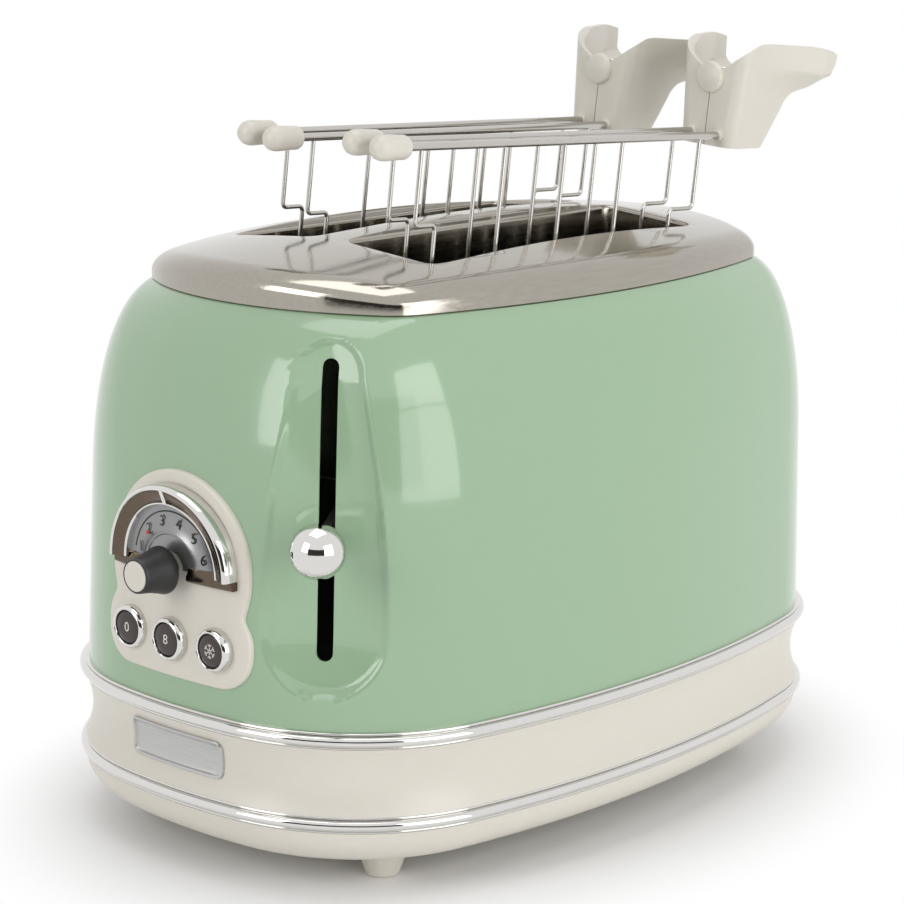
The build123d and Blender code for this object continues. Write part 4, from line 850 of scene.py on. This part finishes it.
def handle_ends(s_along):
    """Lowest and highest point of the handle's wall at a distance along it."""
    share = min(1.0, s_along / NOTCH_LENGTH)
    top = PIVOT_HEIGHT + NOTCH_LOW + NOTCH_RISE * share * share * (3 - 2 * share)
    top -= TOP_DROP * max(0.0, (s_along - TOP_DROP_START) / (HANDLE_PATH - TOP_DROP_START))**1.5
    return underside(s_along - HANDLE_PATH + HANDLE_DEPTH), top


def handle_point(s_along, height, side, skin):
    """Point of the handle's wall: front, round corner, then back along the side, flaring at the top."""
    share = (height - HANDLE_LOW) / (HANDLE_TOP - HANDLE_LOW)
    half = HANDLE_HALF + HANDLE_WIDEN * share - skin
    corner = HANDLE_CORNER - min(skin, 2.0)
    front = half - corner
    if s_along < front:
        x, y = skin, s_along
    elif s_along < front + corner * pi / 2:
        turn = (s_along - front) / corner
        x, y = skin + corner * (1 - cos(turn)), front + corner * sin(turn)
    else:
        x, y = skin + corner + s_along - front - corner * pi / 2, half
    upward_share = min(1.0, max(0.0, (height - FLARE_START) / FLARE_HEIGHT))
    inward_share = min(1.0, max(0.0, (x - FLARE_DEPTH_START) / FLARE_DEPTH))
    flare = upward_share**1.7 * inward_share**1.2 * FLARE
    return (TONG_LENGTH + min(x, HANDLE_DEPTH), side * (y + flare + HALF_GAP), height)


def handle_sheet(side, place, skin):
    """Rows of points of one side of the wall, skin deep inside it."""
    rows = []
    for step in range(HANDLE_COLUMNS + 1):
        s_along = HANDLE_PATH * step / HANDLE_COLUMNS
        low, top = handle_ends(s_along)
        rows.append([place @ Vector(handle_point(s_along, low + (top - low) * k / HANDLE_LEVELS, side, skin))
                     for k in range(HANDLE_LEVELS + 1)])
    return rows


def wall_faces(columns, levels):
    """Faces of a closed wall of two sheets of points: both sides, bottom and top, both ends."""
    tall = levels + 1
    back = tall * (columns + 1)
    faces = []
    for a in range(columns):
        for k in range(levels):
            corner = a * tall + k
            faces.append((corner, corner + tall, corner + tall + 1, corner + 1))
            faces.append((back + corner, back + corner + 1, back + corner + tall + 1, back + corner + tall))
    for a in range(columns):
        for k in (0, levels):
            corner = a * tall + k
            faces.append((corner, corner + tall, back + corner + tall, back + corner))
    for a in (0, columns):
        for k in range(levels):
            corner = a * tall + k
            faces.append((corner, corner + 1, back + corner + 1, back + corner))
    return faces


def round_edges(piece, width):
    """Rounds a piece's sharp edges for good, width in millimetres."""
    edge = piece.modifiers.new("edge", "BEVEL")
    edge.width = width * MM
    edge.segments = 3
    edge.limit_method = "ANGLE"
    edge.angle_limit = radians(50)
    bpy.context.view_layer.update()
    rounded = bpy.data.meshes.new_from_object(piece.evaluated_get(bpy.context.evaluated_depsgraph_get()))
    piece.modifiers.clear()
    piece.data = rounded
    for polygon in rounded.polygons:
        polygon.use_smooth = True
    rounded.set_sharp_from_angle(angle=SMOOTH_ANGLE)


def peg_handle(name, side, place, body, node):
    """Half of a tong's peg handle as a bent wall."""
    sheets = [handle_sheet(side, place, skin) for skin in (0.0, HANDLE_WALL)]
    points = [p for rows in sheets for row in rows for p in row]
    mesh = bpy.data.meshes.new(name)
    mesh.from_pydata([p * MM for p in points], [], wall_faces(HANDLE_COLUMNS, HANDLE_LEVELS))
    mesh.validate()
    weld(mesh)
    round_edges(dress(name, mesh, cream, body, (node,)), HANDLE_EDGE)


CAP = [(0, 0), (1.6, 0.2), (3.0, 0.9), (4.0, 2.2), (4.5, 3.9), (4.6, 5.6), (4.35, 12.0), (4.3, 14.6),
       (3.9, 15.6), (3.2, 16.0), (1.5, 16.0)]
BOSS = [(6.1, 0), (6.1, -1.3), (5.8, -1.9), (5.2, -2.2), (0, -2.35)]
COLLAR = [(2.3, 0), (2.3, -0.7), (1.9, -1.0), (0, -1.1)]

# Where the tongs stand in their slots: from the slot's near end, its middle line and the dome's top
TONG_FRAMES = {
    "front": tong_frame(SLOT_START - 5.6, -10.45 - SLOT_Y, DOME_Z + 34.9, -1.69, 2.43, 3.7),
    "rear": tong_frame(SLOT_START + 1.5, SLOT_Y - 9.55, DOME_Z + 33.1, -1.0, 2.13, 4.5),
}


def tong(name, place):
    """Handle halves, caps, rod collars and pivot boss of one tong."""
    along = place.to_3x3() @ Vector((1, 0, 0))
    for row, side, body in (("front", -1, f"{name}_tong"), ("rear", 1, f"{name}_tong_jaw")):
        peg_handle(f"{name}_handle_{row}", side, place, body, f"{name}_tong_handle_{row}")
        start = place @ Vector((CAP_START, side * TONG_GAP / 2, 0))
        lathe(f"{name}_cap_{row}", CAP, start, along, cream, body,
              (f"{name}_tong_cap_{row}",), 48)
        rod_end = place @ Vector((TONG_LENGTH, side * TONG_GAP / 2, 0))
        lathe(f"{name}_rod_collar_{row}", COLLAR, rod_end, along, cream, body, (), 32)
    pivot = place @ Vector((TONG_LENGTH, 0, PIVOT_HEIGHT))
    lathe(f"{name}_boss", BOSS, pivot, along, cream, f"{name}_tong", (), 48)


for name, place in TONG_FRAMES.items():
    tong(name, place)

# Room, in metres: a pale floor that fades to white round the toaster, a white world and soft lamps
FLOOR_HALF, FADE_NEAR, FADE_FAR, FADE_SQUASH = 6, 0.135, 0.22, 1.35
PAPER_WHITE, BACKGROUND_WHITE, ROOM_LIGHT = 0.93, 1.0, 0.36
# Sheet of painted shade behind the camera, seen only in reflections: reach, start and span in degrees, steps,
# low and top edge
WALL_REACH, WALL_START, WALL_SPAN, WALL_STEPS, WALL_LOW, WALL_TOP = 1.7, -175, 75, 24, 0.02, 0.75


def seen_rays(tree):
    """One for camera, glossy and transmission rays, else zero."""
    path = tree.nodes.new("ShaderNodeLightPath")
    first = tree.nodes.new("ShaderNodeMath")
    first.operation = "MAXIMUM"
    second = tree.nodes.new("ShaderNodeMath")
    second.operation = "MAXIMUM"
    tree.links.new(path.outputs["Is Camera Ray"], first.inputs[0])
    tree.links.new(path.outputs["Is Glossy Ray"], first.inputs[1])
    tree.links.new(first.outputs[0], second.inputs[0])
    tree.links.new(path.outputs["Is Transmission Ray"], second.inputs[1])
    return second.outputs[0]


def paper_floor():
    """Lit paper near the toaster, which keeps its shadow, and plain white farther out."""
    look = bpy.data.materials.new("floor")
    look.use_nodes = True
    tree = look.node_tree
    paper = tree.nodes["Principled BSDF"]
    paper.inputs["Base Color"].default_value = (PAPER_WHITE, PAPER_WHITE, PAPER_WHITE, 1)
    paper.inputs["Roughness"].default_value = 0.6
    white = tree.nodes.new("ShaderNodeEmission")
    white.inputs["Color"].default_value = (1, 1, 1, 1)
    white.inputs["Strength"].default_value = BACKGROUND_WHITE
    place = tree.nodes.new("ShaderNodeTexCoord")
    squash = tree.nodes.new("ShaderNodeMapping")
    squash.inputs["Scale"].default_value = (1.0, FADE_SQUASH, 1.0)
    distance = tree.nodes.new("ShaderNodeVectorMath")
    distance.operation = "LENGTH"
    fade = tree.nodes.new("ShaderNodeMapRange")
    fade.interpolation_type = "SMOOTHSTEP"
    fade.inputs["From Min"].default_value = FADE_NEAR
    fade.inputs["From Max"].default_value = FADE_FAR
    seen = tree.nodes.new("ShaderNodeMath")
    seen.operation = "MULTIPLY"
    mix = tree.nodes.new("ShaderNodeMixShader")
    tree.links.new(place.outputs["Object"], squash.inputs["Vector"])
    tree.links.new(squash.outputs["Vector"], distance.inputs[0])
    tree.links.new(distance.outputs["Value"], fade.inputs["Value"])
    tree.links.new(fade.outputs["Result"], seen.inputs[0])
    tree.links.new(seen_rays(tree), seen.inputs[1])
    tree.links.new(seen.outputs[0], mix.inputs[0])
    tree.links.new(paper.outputs[0], mix.inputs[1])
    tree.links.new(white.outputs[0], mix.inputs[2])
    tree.links.new(mix.outputs[0], tree.nodes["Material Output"].inputs["Surface"])
    return look


def floor_sheet():
    """Flat floor in metres."""
    half = FLOOR_HALF
    mesh = bpy.data.meshes.new("floor")
    mesh.from_pydata([(-half, -half, 0), (half, -half, 0), (half, half, 0), (-half, half, 0)], [],
                     [(0, 1, 2, 3)])
    mesh.materials.append(paper_floor())
    floor = bpy.data.objects.new("floor", mesh)
    bpy.context.scene.collection.objects.link(floor)


def background(tree, strength):
    """White background shader of a strength."""
    shader = tree.nodes.new("ShaderNodeBackground")
    shader.inputs["Color"].default_value = (1, 1, 1, 1)
    shader.inputs["Strength"].default_value = strength
    return shader


def studio():
    """World: a plain level of light, seen as white by camera, metal and glass."""
    world = bpy.data.worlds.new("studio")
    bpy.context.scene.world = world
    world.use_nodes = True
    tree = world.node_tree
    tree.nodes.clear()
    choose = tree.nodes.new("ShaderNodeMixShader")
    output = tree.nodes.new("ShaderNodeOutputWorld")
    tree.links.new(seen_rays(tree), choose.inputs[0])
    tree.links.new(background(tree, ROOM_LIGHT).outputs[0], choose.inputs[1])
    tree.links.new(background(tree, BACKGROUND_WHITE).outputs[0], choose.inputs[2])
    tree.links.new(choose.outputs[0], output.inputs["Surface"])


def reflected_shade_sheet():
    """Low dull sheet of painted shade that curves round behind the camera and is seen only in reflections,
    where it stands for the unlit room.
    """
    points, faces = [], []
    for step in range(WALL_STEPS + 1):
        turn = radians(WALL_START + WALL_SPAN * step / WALL_STEPS)
        points += [(WALL_REACH * cos(turn), WALL_REACH * sin(turn), z) for z in (WALL_LOW, WALL_TOP)]
    for step in range(WALL_STEPS):
        faces.append((2 * step, 2 * step + 2, 2 * step + 3, 2 * step + 1))
    mesh = bpy.data.meshes.new("reflected_shade_sheet")
    mesh.from_pydata(points, [], faces)
    look = bpy.data.materials.new("reflected_shade_sheet")
    look.use_nodes = True
    shade_sheet_shader = look.node_tree.nodes["Principled BSDF"]
    # Painted shade: a near-black colour that chrome and steel show as dark reflections
    shade_sheet_shader.inputs["Base Color"].default_value = (0.05, 0.045, 0.04, 1)
    shade_sheet_shader.inputs["Roughness"].default_value = 0.9
    mesh.materials.append(look)
    wall = bpy.data.objects.new("reflected_shade_sheet", mesh)
    wall.visible_camera = False
    wall.visible_diffuse = False
    wall.visible_shadow = False
    bpy.context.scene.collection.objects.link(wall)


def lamp(name, place, target, size, power, mirrored=True):
    """Soft lamp looking at a point, in metres and watts; mirrored says whether bright surfaces show it."""
    light = bpy.data.lights.new(name, "AREA")
    light.shape = "RECTANGLE"
    light.size, light.size_y = size
    light.energy = power
    holder = bpy.data.objects.new(name, light)
    holder.visible_glossy = mirrored
    holder.location = place
    holder.rotation_euler = (Vector(target) - Vector(place)).to_track_quat("-Z", "Y").to_euler()
    bpy.context.scene.collection.objects.link(holder)


floor_sheet()
studio()
# Sheet of painted shade, seen only in reflections
reflected_shade_sheet()
lamp("front_low", (-0.12, -1.08, 0.22), (-0.06, 0, 0.16), (0.74, 0.42), 2.3)
lamp("front_high", (-0.12, -1.06, 0.62), (-0.06, 0, 0.18), (0.74, 0.34), 2.3)
lamp("left", (-1.5, 0.25, 0.75), (0, 0, 0.1), (0.7, 0.9), 6.3)
lamp("side", (1.3, -0.9, 1.3), (0, 0, 0.1), (0.5, 0.6), 3.4, False)
lamp("top", (0, 0.1, 1.7), (0, 0, 0), (1.2, 1.0), 6.5)

# Camera of the photograph, in millimetres and pixels
CAMERA = Vector((-777.3, -669.6, 358.2))
TARGET = Vector((-11.49, 24.23, 106.14))
CAMERA_ROLL = radians(0.75)
FOCAL_PX, CENTRE_X, CENTRE_Y, FRAME_PX, SENSOR = 2691.8, 393.4, 504.6, 904, 36.0


def photo_camera():
    """Camera that stands and looks as the photograph's did."""
    ahead = (TARGET - CAMERA).normalized()
    right = ahead.cross(Vector((0, 0, 1))).normalized()
    above = right.cross(ahead)
    view_x = right * cos(CAMERA_ROLL) + above * sin(CAMERA_ROLL)
    view_y = above * cos(CAMERA_ROLL) - right * sin(CAMERA_ROLL)
    lens = bpy.data.cameras.new("camera")
    lens.sensor_width = SENSOR
    lens.lens = SENSOR * FOCAL_PX / FRAME_PX
    lens.shift_x = (FRAME_PX / 2 - CENTRE_X) / FRAME_PX
    lens.shift_y = (CENTRE_Y - FRAME_PX / 2) / FRAME_PX
    camera = bpy.data.objects.new("camera", lens)
    stand = Matrix((view_x, view_y, -ahead)).transposed().to_4x4()
    stand.translation = CAMERA * MM
    camera.matrix_world = stand
    bpy.context.scene.collection.objects.link(camera)
    bpy.context.scene.camera = camera


photo_camera()
bpy.context.scene.view_settings.view_transform = "Standard"
